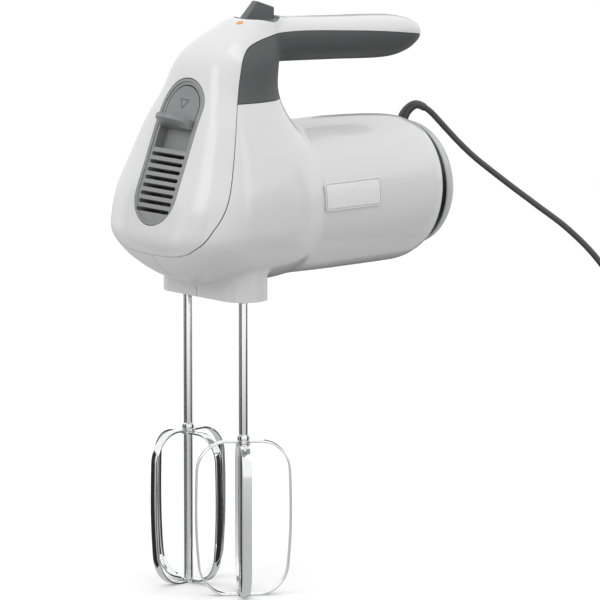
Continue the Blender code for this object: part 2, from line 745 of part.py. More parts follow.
def make_plug(datum, black, metal):
    """A flat two-pin plug lying beside the coil, where the cord leaves its outer turn."""
    place = (COIL_CENTRE[0] + COIL_RADIUS + CORD_DIAMETER / 2, COIL_CENTRE[1] + PLUG_GAP, 0.0)
    axis = empty("plug_axis", datum, place, (0.0, 0.0, math.radians(90)))
    stations = (
        (0.000, 0.0032, 0.0032),
        (0.008, 0.0040, 0.0042),
        (0.018, 0.0105, 0.0062),
        (PLUG_LENGTH, 0.0175, 0.0068),
    )
    rings = []
    for x, half_width, half_height in stations:
        rings.append([(x, a, 0.0069 + b) for a, b in oval(half_width, half_height, 2.6, 20)])
    piece("plug_body", loft("plug_body", rings), black, axis)
    for name, side in (("left_plug_pin", 1), ("right_plug_pin", -1)):
        start = PLUG_LENGTH + GAP
        profile = ((0.0, 0.0), (0.0020, 0.0), (0.0020, 0.0180), (0.0010, 0.0190), (0.0, 0.0190))
        pin_place = (start, side * 0.0093, 0.0069)
        piece(name, turned(name, profile, 12), metal, axis, pin_place, (0.0, math.pi / 2, 0.0))


def make_loop(name, turn_axis, inset, look):
    """One strip bent into a rounded frame, pierced by the shaft at the top and bottom."""
    width, height = LOOP_WIDTH - 2 * inset, LOOP_HEIGHT - 2 * inset
    corner = LOOP_CORNER - inset
    thin = STRIP_THICKNESS
    middle = LOOP_HEIGHT / 2
    outer = [(x, z + middle) for x, z in rounded_rectangle(width, height, corner, 5)]
    inner_size = rounded_rectangle(width - 2 * thin, height - 2 * thin, corner - thin, 5)
    inner = [(x, z + middle) for x, z in inner_size]
    half = STRIP_WIDTH / 2
    form = bmesh.new()
    rows = []
    for outline, y in ((outer, -half), (outer, half), (inner, half), (inner, -half)):
        rows.append([form.verts.new((x, y, z)) for x, z in outline])
    for first, second in zip(rows, rows[1:] + rows[:1]):
        for i in range(len(first)):
            j = (i + 1) % len(first)
            form.faces.new((first[i], first[j], second[j], second[i]))
    loop = piece(name, finished_mesh(name, form), look, turn_axis)
    for end, low in (("top", LOOP_HEIGHT - inset - thin), ("bottom", inset)):
        profile = cylinder_profile(EYELET_RADIUS, low, low + thin)
        eyelet = cutter(f"{name}_{end}_eyelet", turned("eyelet", profile, 16), turn_axis)
        combine(loop, eyelet, "UNION")
    hole = turned("shaft_hole", cylinder_profile(SHAFT_RADIUS + 0.00015, -0.01, 0.1), 16)
    combine(loop, cutter(f"{name}_shaft_hole", hole, turn_axis))


def make_beater(side_name, side, turn, datum, look):
    axis = empty(f"{side_name}_beater_axis", datum, (0.0, side * AXIS_Y, 0.0), (0.0, 0.0, turn))
    profile = (
        (0.0, 0.0),
        (SHAFT_RADIUS - 0.0005, 0.0),
        (SHAFT_RADIUS, 0.0005),
        (SHAFT_RADIUS, SHAFT_TOP - 0.0100),
        (SHAFT_RADIUS - 0.0006, SHAFT_TOP - 0.0090),
        (SHAFT_RADIUS - 0.0006, SHAFT_TOP - 0.0070),
        (SHAFT_RADIUS, SHAFT_TOP - 0.0060),
        (SHAFT_RADIUS, SHAFT_TOP - 0.0010),
        (SHAFT_RADIUS - 0.0010, SHAFT_TOP),
        (0.0, SHAFT_TOP),
    )
    piece(f"{side_name}_beater_shaft", turned("beater_shaft", profile, 20), look, axis)
    make_loop(f"{side_name}_outer_loop", axis, 0.0, look)
    inner_axis = empty(f"{side_name}_inner_loop_turn", axis, rotation=(0.0, 0.0, math.pi / 2))
    make_loop(f"{side_name}_inner_loop", inner_axis, STRIP_THICKNESS + GAP, look)


def toothed_ring(radius, depth, count, phase, steps):
    """A ring whose radius waves count times, for teeth and threads."""
    points = []
    for step in range(steps):
        angle = 2 * math.pi * step / steps
        r = radius - depth / 2 + depth / 2 * math.cos(count * (angle - phase))
        points.append((r * math.cos(angle), r * math.sin(angle)))
    return points


def make_drive_gear(side_name, side, datum, look):
    axis = empty(f"{side_name}_drive_axis", datum, (0.0, side * AXIS_Y, 0.0))
    half = 0.0042
    rings = []
    for z in (MOTOR_HEIGHT - half, MOTOR_HEIGHT + half):
        phase = (z - MOTOR_HEIGHT) * 6.0
        ring = toothed_ring(WHEEL_RADIUS, 0.0014, WHEEL_TEETH, phase, 3 * WHEEL_TEETH)
        rings.append([(x, y, z) for x, y in ring])
    gear = piece(f"{side_name}_drive_gear", loft("drive_gear", rings), look, axis)
    sleeve = turned("drive_sleeve", cylinder_profile(SLEEVE_RADIUS, COLLAR_BOTTOM + 0.001, SLEEVE_TOP), 24)
    combine(gear, cutter(f"{side_name}_sleeve", sleeve, axis), "UNION")
    bore = turned("sleeve_bore", cylinder_profile(SLEEVE_BORE, 0.1, 0.25), 20)
    combine(gear, cutter(f"{side_name}_bore", bore, axis))


def make_gearbox_frame(datum, look):
    plate_half = 0.0335
    plate = block("gearbox_frame", (-0.021, -plate_half, 0.1880), (0.027, plate_half, 0.1915))
    frame = piece("gearbox_frame", plate, look, datum)
    wall = block("bearing_wall", (0.0205, -0.024, 0.1890), (0.0270, 0.024, 0.2165))
    combine(frame, cutter("bearing_wall", wall, datum), "UNION")
    shelf = block("upper_shelf", (-0.021, -plate_half, 0.2135), (0.027, plate_half, 0.2160))
    combine(frame, cutter("upper_shelf", shelf, datum), "UNION")
    for name, side in (("left", -1), ("right", 1)):
        bush = turned("bush_hole", cylinder_profile(SLEEVE_RADIUS + GAP, 0.15, 0.24), 24)
        combine(frame, cutter(f"{name}_bush_hole", bush, datum, (0.0, side * AXIS_Y, 0.0)))
    seat = turned("bearing_seat", cylinder_profile(0.0083, 0.015, 0.035), 24)
    place = (0.0, 0.0, MOTOR_HEIGHT)
    combine(frame, cutter("bearing_seat", seat, datum, place, (0.0, math.pi / 2, 0.0)))


def make_shaft_with_worm(axis, look):
    """The motor shaft with a two-start worm cut on its front end, lying along the axis empty's Z."""
    worm_low, worm_high = -0.0100, 0.0100
    tooth_depth = 0.0014
    pitch = 2 * math.pi * (WHEEL_RADIUS - tooth_depth / 2) / WHEEL_TEETH
    rings = []

    def ring_at(z, radius, depth):
        phase = math.pi * z / pitch
        return [(x, y, z) for x, y in toothed_ring(radius, depth, 2, phase, 12)]

    rings.append(ring_at(-0.0200, MOTOR_SHAFT_RADIUS, 0.0))
    rings.append(ring_at(worm_low - 0.0005, MOTOR_SHAFT_RADIUS, 0.0))
    steps = 22
    for step in range(steps + 1):
        rings.append(ring_at(worm_low + (worm_high - worm_low) * step / steps, WORM_RADIUS, tooth_depth))
    rings.append(ring_at(worm_high + 0.0005, MOTOR_SHAFT_RADIUS, 0.0))
    rings.append(ring_at(0.1290, MOTOR_SHAFT_RADIUS, 0.0))
    piece("motor_shaft", loft("motor_shaft", rings), look, axis)


def hollow_profile(inner, outer, low, high):
    return ((inner, low), (outer, low), (outer, high), (inner, high))


def make_motor(datum, steel, copper, brass, carbon, plastic):
    axis = empty("motor_axis", datum, (0.0, 0.0, MOTOR_HEIGHT), (0.0, math.pi / 2, 0.0))
    make_shaft_with_worm(axis, steel)
    bore = MOTOR_SHAFT_RADIUS + GAP
    for name, outer, low, high, look in (
        ("armature_core", 0.0150, STACK_FRONT, STACK_REAR, steel),
        ("front_winding_head", 0.0128, STACK_FRONT - 0.0055, STACK_FRONT - GAP, copper),
        ("rear_winding_head", 0.0128, STACK_REAR + GAP, STACK_REAR + 0.0060, copper),
        ("commutator", 0.0088, 0.0960, 0.1100, brass),
        ("front_bearing", 0.0080, 0.0206, 0.0269, brass),
        ("rear_bearing", 0.0080, 0.1230, 0.1275, brass),
    ):
        piece(name, turned(name, hollow_profile(bore, outer, low, high), 20), look, axis)
    fan_outline = []
    blades = 9
    blade_corners = ((0.0080, -0.32), (0.0080, -0.10), (0.0290, 0.02), (0.0290, 0.09), (0.0080, 0.10))
    for blade in range(blades):
        for radius, turn in blade_corners:
            angle = 2 * math.pi * blade / blades + turn
            fan_outline.append((radius * math.cos(angle), radius * math.sin(angle)))
    fan = piece("cooling_fan", prism("cooling_fan", fan_outline, "Z", 0.1125, 0.1200), plastic, axis)
    fan_bore = turned("fan_bore", cylinder_profile(bore, 0.10, 0.13), 20)
    combine(fan, cutter("fan_bore", fan_bore, axis))
    make_field(axis, steel, copper)
    make_brushes(datum, brass, carbon)


def make_field(axis, steel, copper):
    stack = turned("field_core", hollow_profile(0.0158, 0.0368, STACK_FRONT, STACK_REAR), 32)
    core = piece("field_core", stack, steel, axis)
    coil_low, coil_high = 0.0140, 0.0220
    inner, outer = 0.0190, 0.0250
    for name, side in (("upper", -1), ("lower", 1)):
        low, high = sorted((side * coil_low, side * coil_high))
        for end, flank in (("left", -1), ("right", 1)):
            y_low, y_high = sorted((flank * (inner - GAP), flank * (outer + GAP)))
            slot = block("coil_slot", (low - GAP, y_low, 0.05), (high + GAP, y_high, 0.10))
            combine(core, cutter(f"{name}_{end}_coil_slot", slot, axis))
        front, rear = STACK_FRONT - 0.002, STACK_REAR + 0.002
        winding = block("field_coil", (low, -outer, front - 0.006), (high, outer, rear + 0.006))
        coil = piece(f"{name}_field_coil", winding, copper, axis)
        window = block("coil_window", (low - 0.01, -inner, front), (high + 0.01, inner, rear))
        combine(coil, cutter(f"{name}_coil_window", window, axis))


def make_brushes(datum, brass, carbon):
    for name, side in (("left", -1), ("right", 1)):
        low, high = sorted((side * 0.0096, side * 0.0280))
        sleeve = block("brush_holder", (0.0975, low, 0.2030), (0.1085, high, 0.2110))
        holder = piece(f"{name}_brush_holder", sleeve, brass, datum)
        tunnel = block("brush_tunnel", (0.1000, -0.05, 0.2046), (0.1060, 0.05, 0.2094))
        combine(holder, cutter(f"{name}_brush_tunnel", tunnel, datum))
        low, high = sorted((side * 0.0093, side * 0.0240))
        brush = block("carbon_brush", (0.1003, low, 0.2049), (0.1057, high, 0.2091))
        piece(f"{name}_carbon_brush", brush, carbon, datum)


def make_ejector(datum, look, steel):
    """The yoke over both drive sleeves, its pins standing in their bores, and its return spring."""
    bar = block("ejector_yoke", (-0.0060, -0.0290, 0.2290), (0.0060, 0.0290, 0.2320))
    yoke = piece("ejector_yoke", bar, look, datum)
    post = block("yoke_post", (-0.0150, -0.0030, 0.2295), (-0.0040, 0.0030, 0.2490))
    combine(yoke, cutter("yoke_post", post, datum), "UNION")
    for name, side in (("left", -1), ("right", 1)):
        pin = turned("yoke_pin", cylinder_profile(0.0023, SHAFT_TOP + 0.0006, 0.2300), 16)
        combine(yoke, cutter(f"{name}_yoke_pin", pin, datum, (0.0, side * AXIS_Y, 0.0)), "UNION")
    turns, radius, low, high = 5, 0.0034, 0.2168, 0.2283
    count = 14 * turns
    route = []
    for step in range(count + 1):
        angle = 2 * math.pi * turns * step / count
        height = low + (high - low) * step / count
        route.append((radius * math.cos(angle), radius * math.sin(angle), height))
    piece("return_spring", round_tube("return_spring", route, [0.0004] * len(route), 0), steel, datum)


def make_electrics(datum, plastic, board):
    switch = block("speed_switch", (0.0140, -0.0080, 0.2860), (0.0340, 0.0080, 0.2985))
    piece("speed_switch", switch, plastic, datum)
    circuit = block("control_board", (0.0480, -0.0085, 0.2900), (0.1120, 0.0085, 0.2916))
    piece("control_board", circuit, board, datum)


def main():
    clear_scene()
    datum = empty("datum", None, (BEATER_PLANE_X, 0.0, 0.0))
    slope = empty("nose_slope", datum, SLOPE_CENTRE)
    # The slope's X runs across the mixer, its Y up the slope and its Z out of the nose.
    up = Vector((math.sin(SLOPE_ANGLE), 0.0, math.cos(SLOPE_ANGLE)))
    out = Vector((-math.cos(SLOPE_ANGLE), 0.0, math.sin(SLOPE_ANGLE)))
    slope.rotation_euler = Matrix((up.cross(out), up, out)).transposed().to_euler()

    white = material("white_abs", (0.80, 0.81, 0.80), 0.22)
    dark_grey = material("dark_grey_grip", (0.095, 0.095, 0.098), 0.50)
    panel_grey = material("panel_grey", (0.25, 0.25, 0.25), 0.40)
    lever_grey = material("lever_grey", (0.085, 0.085, 0.088), 0.38)
    orange = material("orange_mark", (0.80, 0.35, 0.10), 0.40)
    plate = material("badge_plate", (0.70, 0.70, 0.70), 0.30, 0.5)
    black = material("black_plastic", (0.012, 0.012, 0.013), 0.45)
    light_grey = material("heel_grey", (0.42, 0.42, 0.43), 0.40)
    chrome = material("beater_chrome", (0.78, 0.78, 0.78), 0.10, 1.0)
    steel = material("steel", (0.45, 0.45, 0.46), 0.35, 1.0)
    copper = material("winding_copper", (0.60, 0.27, 0.12), 0.45, 1.0)
    brass = material("brass", (0.68, 0.50, 0.22), 0.35, 1.0)
    carbon = material("carbon", (0.02, 0.02, 0.02), 0.70)
    gear_plastic = material("gear_plastic", (0.75, 0.73, 0.66), 0.45)
    board_green = material("board_green", (0.04, 0.20, 0.09), 0.45)

    skin = body_form("skin", datum)
    cavity = make_cavity(datum)
    cover_region, grip_region, housing_region = make_regions(datum)
    relief_hole = make_relief_hole(datum)
    make_housings(datum, skin, cavity, housing_region, relief_hole, white)
    make_screws(datum, steel)
    make_cover_and_grip(datum, slope, skin, cavity, cover_region, grip_region, white, dark_grey)
    make_vent_panel(datum, slope, panel_grey)
    make_eject_slider(datum, slope, lever_grey)
    make_selector(datum, lever_grey, orange)
    make_badge(datum, plate)
    make_rear(datum, relief_hole, black, light_grey)
    make_cord(datum, black)
    make_plug(datum, black, steel)
    for side_name, side, turn in (("left", -1, LEFT_BEATER_TURN), ("right", 1, RIGHT_BEATER_TURN)):
        make_beater(side_name, side, turn, datum, chrome)
        make_drive_gear(side_name, side, datum, gear_plastic)
    make_gearbox_frame(datum, gear_plastic)
    make_motor(datum, steel, copper, brass, carbon, black)
    make_ejector(datum, gear_plastic, steel)
    make_electrics(datum, black, board_green)


main()
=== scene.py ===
# %% [markdown]
# # A hand mixer, dressed for the camera
# The engineering model already holds every part of the mixer at its true size and place. This lesson
# builds the visible surfaces around it: blended shells, a grille, chrome beaters and a real flat cord.
# All lengths are in metres. Distances along the mixer are measured from the plane of its two beaters.

import math

import bmesh
import bpy
from mathutils import Euler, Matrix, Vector, geometry


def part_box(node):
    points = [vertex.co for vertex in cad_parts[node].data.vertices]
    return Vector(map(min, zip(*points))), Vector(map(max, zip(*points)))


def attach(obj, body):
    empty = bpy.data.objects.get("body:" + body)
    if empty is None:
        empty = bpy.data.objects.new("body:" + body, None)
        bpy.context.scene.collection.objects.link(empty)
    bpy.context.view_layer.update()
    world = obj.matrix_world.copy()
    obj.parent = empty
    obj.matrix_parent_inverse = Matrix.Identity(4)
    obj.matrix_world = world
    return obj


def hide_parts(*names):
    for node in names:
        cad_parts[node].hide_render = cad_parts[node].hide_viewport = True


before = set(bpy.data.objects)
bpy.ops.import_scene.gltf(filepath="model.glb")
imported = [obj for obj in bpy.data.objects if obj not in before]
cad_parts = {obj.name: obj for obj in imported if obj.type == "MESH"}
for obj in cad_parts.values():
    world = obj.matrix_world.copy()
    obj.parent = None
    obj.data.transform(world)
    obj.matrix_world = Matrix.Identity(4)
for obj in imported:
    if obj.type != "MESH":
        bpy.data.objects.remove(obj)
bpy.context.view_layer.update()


def box_centre(node):
    low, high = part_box(node)
    return (low + high) / 2


BEATER_X = box_centre("left_beater_shaft").x
AXIS_Y = box_centre("right_beater_shaft").y


def at(x, y, z):
    """A point, from its distance behind the beater axes, its side and its height."""
    return Vector((BEATER_X + x, y, z))


# %% [markdown]
# ## Working by hand in code
# Operators act on whatever is selected, so each step first says what it works on. These few helpers
# pick an object, pick faces by their place, apply a modifier, and fix a finished piece at the origin.

# %% Selecting, editing and applying


def focus(*objects):
    """Leaves only these objects selected, the first of them active."""
    bpy.ops.object.select_all(action="DESELECT")
    for obj in objects:
        obj.select_set(True)
    bpy.context.view_layer.objects.active = objects[0]


def added(name):
    """The primitive that was just made, under its own name."""
    made = bpy.context.active_object
    made.name = name
    made.data.name = name
    return made


def start_edit(obj, kind="FACE"):
    focus(obj)
    bpy.ops.object.mode_set(mode="EDIT")
    bpy.ops.mesh.select_mode(type=kind)


def end_edit():
    bpy.ops.object.mode_set(mode="OBJECT")


def pick(obj, kind, test):
    """In edit mode, selects the faces, edges or vertices whose middle passes the test."""
    bpy.ops.mesh.select_mode(type=kind)
    bpy.ops.mesh.select_all(action="DESELECT")
    form = bmesh.from_edit_mesh(obj.data)
    for element in {"FACE": form.faces, "EDGE": form.edges, "VERT": form.verts}[kind]:
        if kind == "FACE":
            element.select_set(test(element.calc_center_median(), element.normal))
        elif kind == "EDGE":
            element.select_set(test((element.verts[0].co + element.verts[1].co) / 2, element))
        else:
            element.select_set(test(element.co, element))
    form.select_flush_mode()
    bmesh.update_edit_mesh(obj.data)


def shape_with(obj, kind, **settings):
    """Adds a modifier with these settings and applies it."""
    focus(obj)
    modifier = obj.modifiers.new(kind.title(), kind)
    for key, value in settings.items():
        setattr(modifier, key, value)
    bpy.ops.object.modifier_apply(modifier=modifier.name)
    return obj


def cut(obj, tool, operation="DIFFERENCE", keep_tool=False):
    """Cuts, joins or crosses a piece with another closed shape, which is then used up."""
    shape_with(obj, "BOOLEAN", operation=operation, object=tool, solver="EXACT", material_mode="TRANSFER")
    if not keep_tool:
        bpy.data.objects.remove(tool, do_unlink=True)
    return obj


def settle(obj):
    """Moves the object's place, turn and size into its mesh."""
    focus(obj)
    bpy.ops.object.transform_apply(location=True, rotation=True, scale=True)
    return obj


def duplicate(obj, name):
    """A copy with a mesh of its own."""
    made = obj.copy()
    made.data = obj.data.copy()
    made.name = name
    made.data.name = name
    bpy.context.scene.collection.objects.link(made)
    return made


def joined(first, *others):
    focus(first, *others)
    bpy.ops.object.join()
    return bpy.context.active_object


def oval(half_a, half_b, squareness, count=96):
    """Points of a rounded square or oval."""
    points = []
    for step in range(count):
        c, s = math.cos(2 * math.pi * step / count), math.sin(2 * math.pi * step / count)
        a = math.copysign(abs(c) ** (2 / squareness), c) * half_a
        points.append((a, math.copysign(abs(s) ** (2 / squareness), s) * half_b))
    return points


def shaped_circle(name, points, fill="NOTHING"):
    """A circle primitive whose corners are moved onto these points."""
    bpy.ops.mesh.primitive_circle_add(vertices=len(points), radius=0.01, fill_type=fill)
    made = added(name)
    for vertex, place in zip(made.data.vertices, points):
        vertex.co = place
    return made


def loft(name, rings):
    """Sections bridged into one skin and closed at both ends."""
    circles = [shaped_circle(name, ring) for ring in rings]
    made = joined(*circles)
    start_edit(made, "EDGE")
    bpy.ops.mesh.select_all(action="SELECT")
    bpy.ops.mesh.bridge_edge_loops()
    bpy.ops.mesh.select_all(action="SELECT")
    bpy.ops.mesh.fill_holes(sides=0)
    bpy.ops.mesh.select_all(action="SELECT")
    bpy.ops.mesh.normals_make_consistent(inside=False)
    end_edit()
    return made


def slab(name, outline, shift, place=lambda a, b: at(a, 0.0, b)):
    """A flat outline extruded by a shift, half of it to either side."""
    shift = Vector(shift)
    made = shaped_circle(name, [place(a, b) - shift / 2 for a, b in outline], "NGON")
    start_edit(made)
    bpy.ops.mesh.select_all(action="SELECT")
    bpy.ops.mesh.extrude_region_move(TRANSFORM_OT_translate={"value": shift})
    bpy.ops.mesh.select_all(action="SELECT")
    bpy.ops.mesh.normals_make_consistent(inside=False)
    end_edit()
    return made


def smooth(obj, degrees=32):
    focus(obj)
    bpy.ops.object.shade_smooth_by_angle(angle=math.radians(degrees))
    return obj


def even_shine(obj, degrees=32):
    """Smooth shading that leans on the large faces, so that cuts leave no smears."""
    smooth(obj, degrees)
    return shape_with(obj, "WEIGHTED_NORMAL", keep_sharp=True, weight=80)


def dress(obj, body, look, slot, *replaced):
    """Gives a finished piece its body, its finish and the plain solids it stands for."""
    obj.data.materials.clear()
    obj.data.materials.append(look)
    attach(obj, body)
    if replaced:
        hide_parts(*replaced)
    print(f"{obj.name}: {len(obj.data.polygons)} faces")
    return obj


# %% [markdown]
# ## The camera
# The mixer is seen from the front left and a little above, through a long lens, so that the beaters
# stay nearly upright and parallel. It looks at the middle of the mixer, cord left aside.

# %% Camera
LENS = 355.6
CAMERA_DISTANCE = 3.20
LOOK_AT = at(0.0511, -0.0104, 0.1534)
TOWARDS_CAMERA = Vector((-0.6471, -0.7443, 0.1650)).normalized()

focus(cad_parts["nose_cover"])
bpy.ops.object.camera_add(location=LOOK_AT + TOWARDS_CAMERA * CAMERA_DISTANCE)
camera = bpy.context.active_object
camera.name = "studio_camera"
camera.rotation_euler = (-TOWARDS_CAMERA).to_track_quat("-Z", "Y").to_euler()
camera.data.lens = LENS
camera.data.clip_start = 0.05
bpy.context.scene.camera = camera
print("camera at", [round(v, 3) for v in camera.location])

# %% [markdown]
# ## Floor and light
# White plastic on a white floor needs wide, even light. The air itself is the lamp here: bright above,
# dim below, so that the underside falls off to grey, as it does over a table. The floor is left out of
# the light that bounces back up. A few weak lamps add direction, and their shine on the gloss. Chrome
# shows only what stands round it, so dark boards beside the camera give it its black lines.

# %% Floor, air, lamps and boards
FLOOR_RADIUS = 7.0
AIR_ABOVE = 1.12
AIR_BELOW = 0.60


def flat_look(name, colour, roughness=0.7):
    look = bpy.data.materials.new(name)
    look.use_nodes = True
    shader = look.node_tree.nodes["Principled BSDF"]
    shader.inputs["Base Color"].default_value = (*colour, 1.0)
    shader.inputs["Roughness"].default_value = roughness
    return look


bpy.ops.mesh.primitive_circle_add(vertices=96, radius=FLOOR_RADIUS, fill_type="NGON")
floor = added("studio_floor")
floor.data.materials.append(flat_look("pale_floor", (0.90, 0.90, 0.90)))
floor.visible_diffuse = False
floor.visible_glossy = False


def soft_light(name, place, size, power, target=LOOK_AT):
    bpy.ops.object.light_add(type="AREA", location=target + Vector(place))
    light = bpy.context.active_object
    light.name = name
    light.data.shape = "RECTANGLE"
    light.data.size, light.data.size_y = size
    light.data.energy = power
    light.rotation_euler = Vector(place).to_track_quat("Z", "Y").to_euler()
    return light


soft_light("key_light", (-1.7, 0.3, 0.9), (0.7, 1.2), 6.5)
soft_light("top_light", (0.2, -0.5, 1.8), (0.5, 1.6), 5.0)
soft_light("side_light", (0.9, -1.8, 0.7), (0.5, 1.3), 2.5)


def board(name, place, size):
    """A dark upright board that only reflections see."""
    bpy.ops.mesh.primitive_plane_add(size=1.0, location=LOOK_AT + Vector(place))
    made = added(name)
    made.scale = (*size, 1.0)
    made.rotation_euler = Vector(place).to_track_quat("Z", "Y").to_euler()
    settle(made)
    made.data.materials.append(flat_look(name + "_cloth", (0.01, 0.01, 0.01)))
    made.visible_camera = False
    made.visible_diffuse = False
    made.visible_shadow = False
    return made


board("left_board", (-1.25, 0.10, -0.30), (0.95, 1.6))
board("back_board", (1.15, 0.95, -0.30), (0.50, 1.6))
board("right_board", (1.15, -0.55, -0.30), (0.30, 1.6))
board("far_left_board", (-0.92, 1.06, -0.30), (0.80, 1.6))
board("near_right_board", (0.92, -1.06, -0.30), (0.80, 1.6))

world = bpy.data.worlds.new("studio_air")
bpy.context.scene.world = world
world.use_nodes = True
air = world.node_tree
direction = air.nodes.new("ShaderNodeTexCoord")
parts = air.nodes.new("ShaderNodeSeparateXYZ")
fade = air.nodes.new("ShaderNodeMapRange")
fade.interpolation_type = "SMOOTHSTEP"
for socket, value in (("From Min", -0.25), ("From Max", 0.12), ("To Min", AIR_BELOW), ("To Max", AIR_ABOVE)):
    fade.inputs[socket].default_value = value
air.links.new(direction.outputs["Generated"], parts.inputs["Vector"])
air.links.new(parts.outputs["Z"], fade.inputs["Value"])
air.links.new(fade.outputs["Result"], air.nodes["Background"].inputs["Strength"])
air.nodes["Background"].inputs["Color"].default_value = (1.0, 1.0, 1.0, 1.0)
bpy.context.scene.view_settings.view_transform = "Standard"

# %% [markdown]
# ## Finishes
# Moulded plastic is never one flat colour: it has a fine surface grain, a faint cloud of tone and a
# gloss that varies a little where hands have touched it. One function makes such a finish from noise
# in the object's own coordinates, so that the pattern stays put when the piece moves.

# %% A finish with grain


def link(look, source, output, target, socket):
    look.node_tree.links.new(source.outputs[output], target.inputs[socket])


def node(look, kind, **values):
    made = look.node_tree.nodes.new("ShaderNode" + kind)
    for key, value in values.items():
        if key in made.inputs:
            made.inputs[key].default_value = value
        else:
            setattr(made, key, value)
    return made


def ramp(look, source, output, low, high, start=0.35, end=0.65):
    """Turns a pattern into a value between low and high."""
    made = node(look, "MapRange")
    made.inputs["From Min"].default_value = start
    made.inputs["From Max"].default_value = end
    made.inputs["To Min"].default_value = low
    made.inputs["To Max"].default_value = high
    link(look, source, output, made, "Value")
    return made


EDGE_RADIUS = 0.0004


def finish(name, colour, roughness, metallic=0.0, cloud=0.04, grain=2500.0, depth=0.00003, uneven=0.05):
    """A surface with clouded colour, uneven gloss, soft edges and a grain of so many bumps a metre."""
    look = bpy.data.materials.new(name)
    look.use_nodes = True
    shader = look.node_tree.nodes["Principled BSDF"]
    shader.inputs["Metallic"].default_value = metallic
    place = node(look, "TexCoord")
    clouds = node(look, "TexNoise", Scale=28.0, Detail=3.0)
    link(look, place, "Object", clouds, "Vector")
    mix = node(look, "Mix", data_type="RGBA")
    mix.inputs["A"].default_value = (*[c * (1 - cloud) for c in colour], 1.0)
    mix.inputs["B"].default_value = (*[min(1.0, c * (1 + cloud)) for c in colour], 1.0)
    look.node_tree.nodes.active = shader
    look.node_tree.links.new(clouds.outputs["Fac"], mix.inputs["Factor"])
    look.node_tree.links.new(mix.outputs["Result"], shader.inputs["Base Color"])
    gloss = ramp(look, clouds, "Fac", roughness - uneven, roughness + uneven)
    link(look, gloss, "Result", shader, "Roughness")
    bumps = node(look, "TexNoise", Scale=grain, Detail=2.0)
    link(look, place, "Object", bumps, "Vector")
    bump = node(look, "Bump", Strength=0.5, Distance=depth)
    link(look, bumps, "Fac", bump, "Height")
    soft_edge = node(look, "Bevel", Radius=EDGE_RADIUS, samples=4)
    link(look, soft_edge, "Normal", bump, "Normal")
    link(look, bump, "Normal", shader, "Normal")
    return look


white_shell = finish("gloss_white_shell", (0.60, 0.605, 0.60), 0.17, cloud=0.012, grain=420.0, depth=0.00001, uneven=0.03)
dark_grip = finish("soft_feel_grip", (0.062, 0.063, 0.065), 0.50, cloud=0.06, grain=3800.0, depth=0.00006)
panel_grey = finish("satin_panel_grey", (0.245, 0.247, 0.25), 0.38, cloud=0.04, grain=2600.0, depth=0.00003)
slider_grey = finish("satin_slider_grey", (0.20, 0.202, 0.205), 0.38, cloud=0.04, grain=2600.0, depth=0.00003)
lever_grey = finish("satin_lever_grey", (0.098, 0.1, 0.102), 0.40, cloud=0.05, grain=2600.0, depth=0.00003)
cord_sheath = finish("cord_pvc", (0.035, 0.035, 0.036), 0.42, cloud=0.08, grain=1500.0, depth=0.00004)
black_plastic = finish("black_plastic", (0.012, 0.012, 0.013), 0.35, cloud=0.1, grain=2200.0)
heel_grey = finish("heel_grey", (0.46, 0.465, 0.47), 0.34, cloud=0.03, grain=2200.0)
chrome = finish("beater_chrome", (0.80, 0.805, 0.81), 0.07, metallic=1.0, cloud=0.02, grain=900.0, depth=0.000003, uneven=0.025)
steel = finish("bare_steel", (0.50, 0.50, 0.51), 0.30, metallic=1.0, cloud=0.1, grain=1800.0)
orange_mark = finish("orange_mark", (0.80, 0.30, 0.06), 0.40, cloud=0.05)
badge_plate = finish("badge_plate", (0.71, 0.71, 0.715), 0.30, metallic=0.05, cloud=0.03, grain=1200.0, depth=0.00001)
brass = finish("turned_brass", (0.66, 0.46, 0.17), 0.28, metallic=1.0, cloud=0.08, grain=1500.0)
carbon = finish("brush_carbon", (0.022, 0.022, 0.023), 0.62, cloud=0.15, grain=4200.0, depth=0.00006)
gear_plastic = finish("gear_plastic", (0.72, 0.69, 0.60), 0.42, cloud=0.05, grain=1900.0)
board_green = finish("board_green", (0.025, 0.16, 0.065), 0.35, cloud=0.12, grain=900.0)
copper = finish("enamelled_copper", (0.55, 0.21, 0.08), 0.30, metallic=1.0, cloud=0.1)
laminations = finish("steel_laminations", (0.30, 0.30, 0.31), 0.42, metallic=1.0, cloud=0.1)


def lined(look, direction, pitch, depth):
    """Gives a finish fine parallel lines across a direction, such as wires or stacked plates."""
    tree = look.node_tree
    place = next(n for n in tree.nodes if n.type == "TEX_COORD")
    bump = next(n for n in tree.nodes if n.type == "BUMP")
    lines = node(look, "TexWave", Scale=math.pi / 10 / pitch, bands_direction=direction)
    link(look, place, "Object", lines, "Vector")
    link(look, lines, "Fac", bump, "Height")
    bump.inputs["Distance"].default_value = depth
    bump.inputs["Strength"].default_value = 1.0


lined(copper, "Y", 0.0006, 0.00025)
lined(laminations, "X", 0.0005, 0.00012)
print("made", len(bpy.data.materials), "finishes")

# %% [markdown]
# ## The mains cord
# The cord is a flat twin flex: two insulated wires side by side under one sheath, 5.2 mm wide and
# 3.2 mm thick. It leaves the heel upwards, hoops over and falls to the table, and the length that
# isn't needed is wound into a small coil, ending in its two-pin plug. A flat flex bends only across
# its thin way, so it lies on edge in the coil and turns a quarter on its way down.
# A figure-of-eight outline is carried along the route, ring by ring.

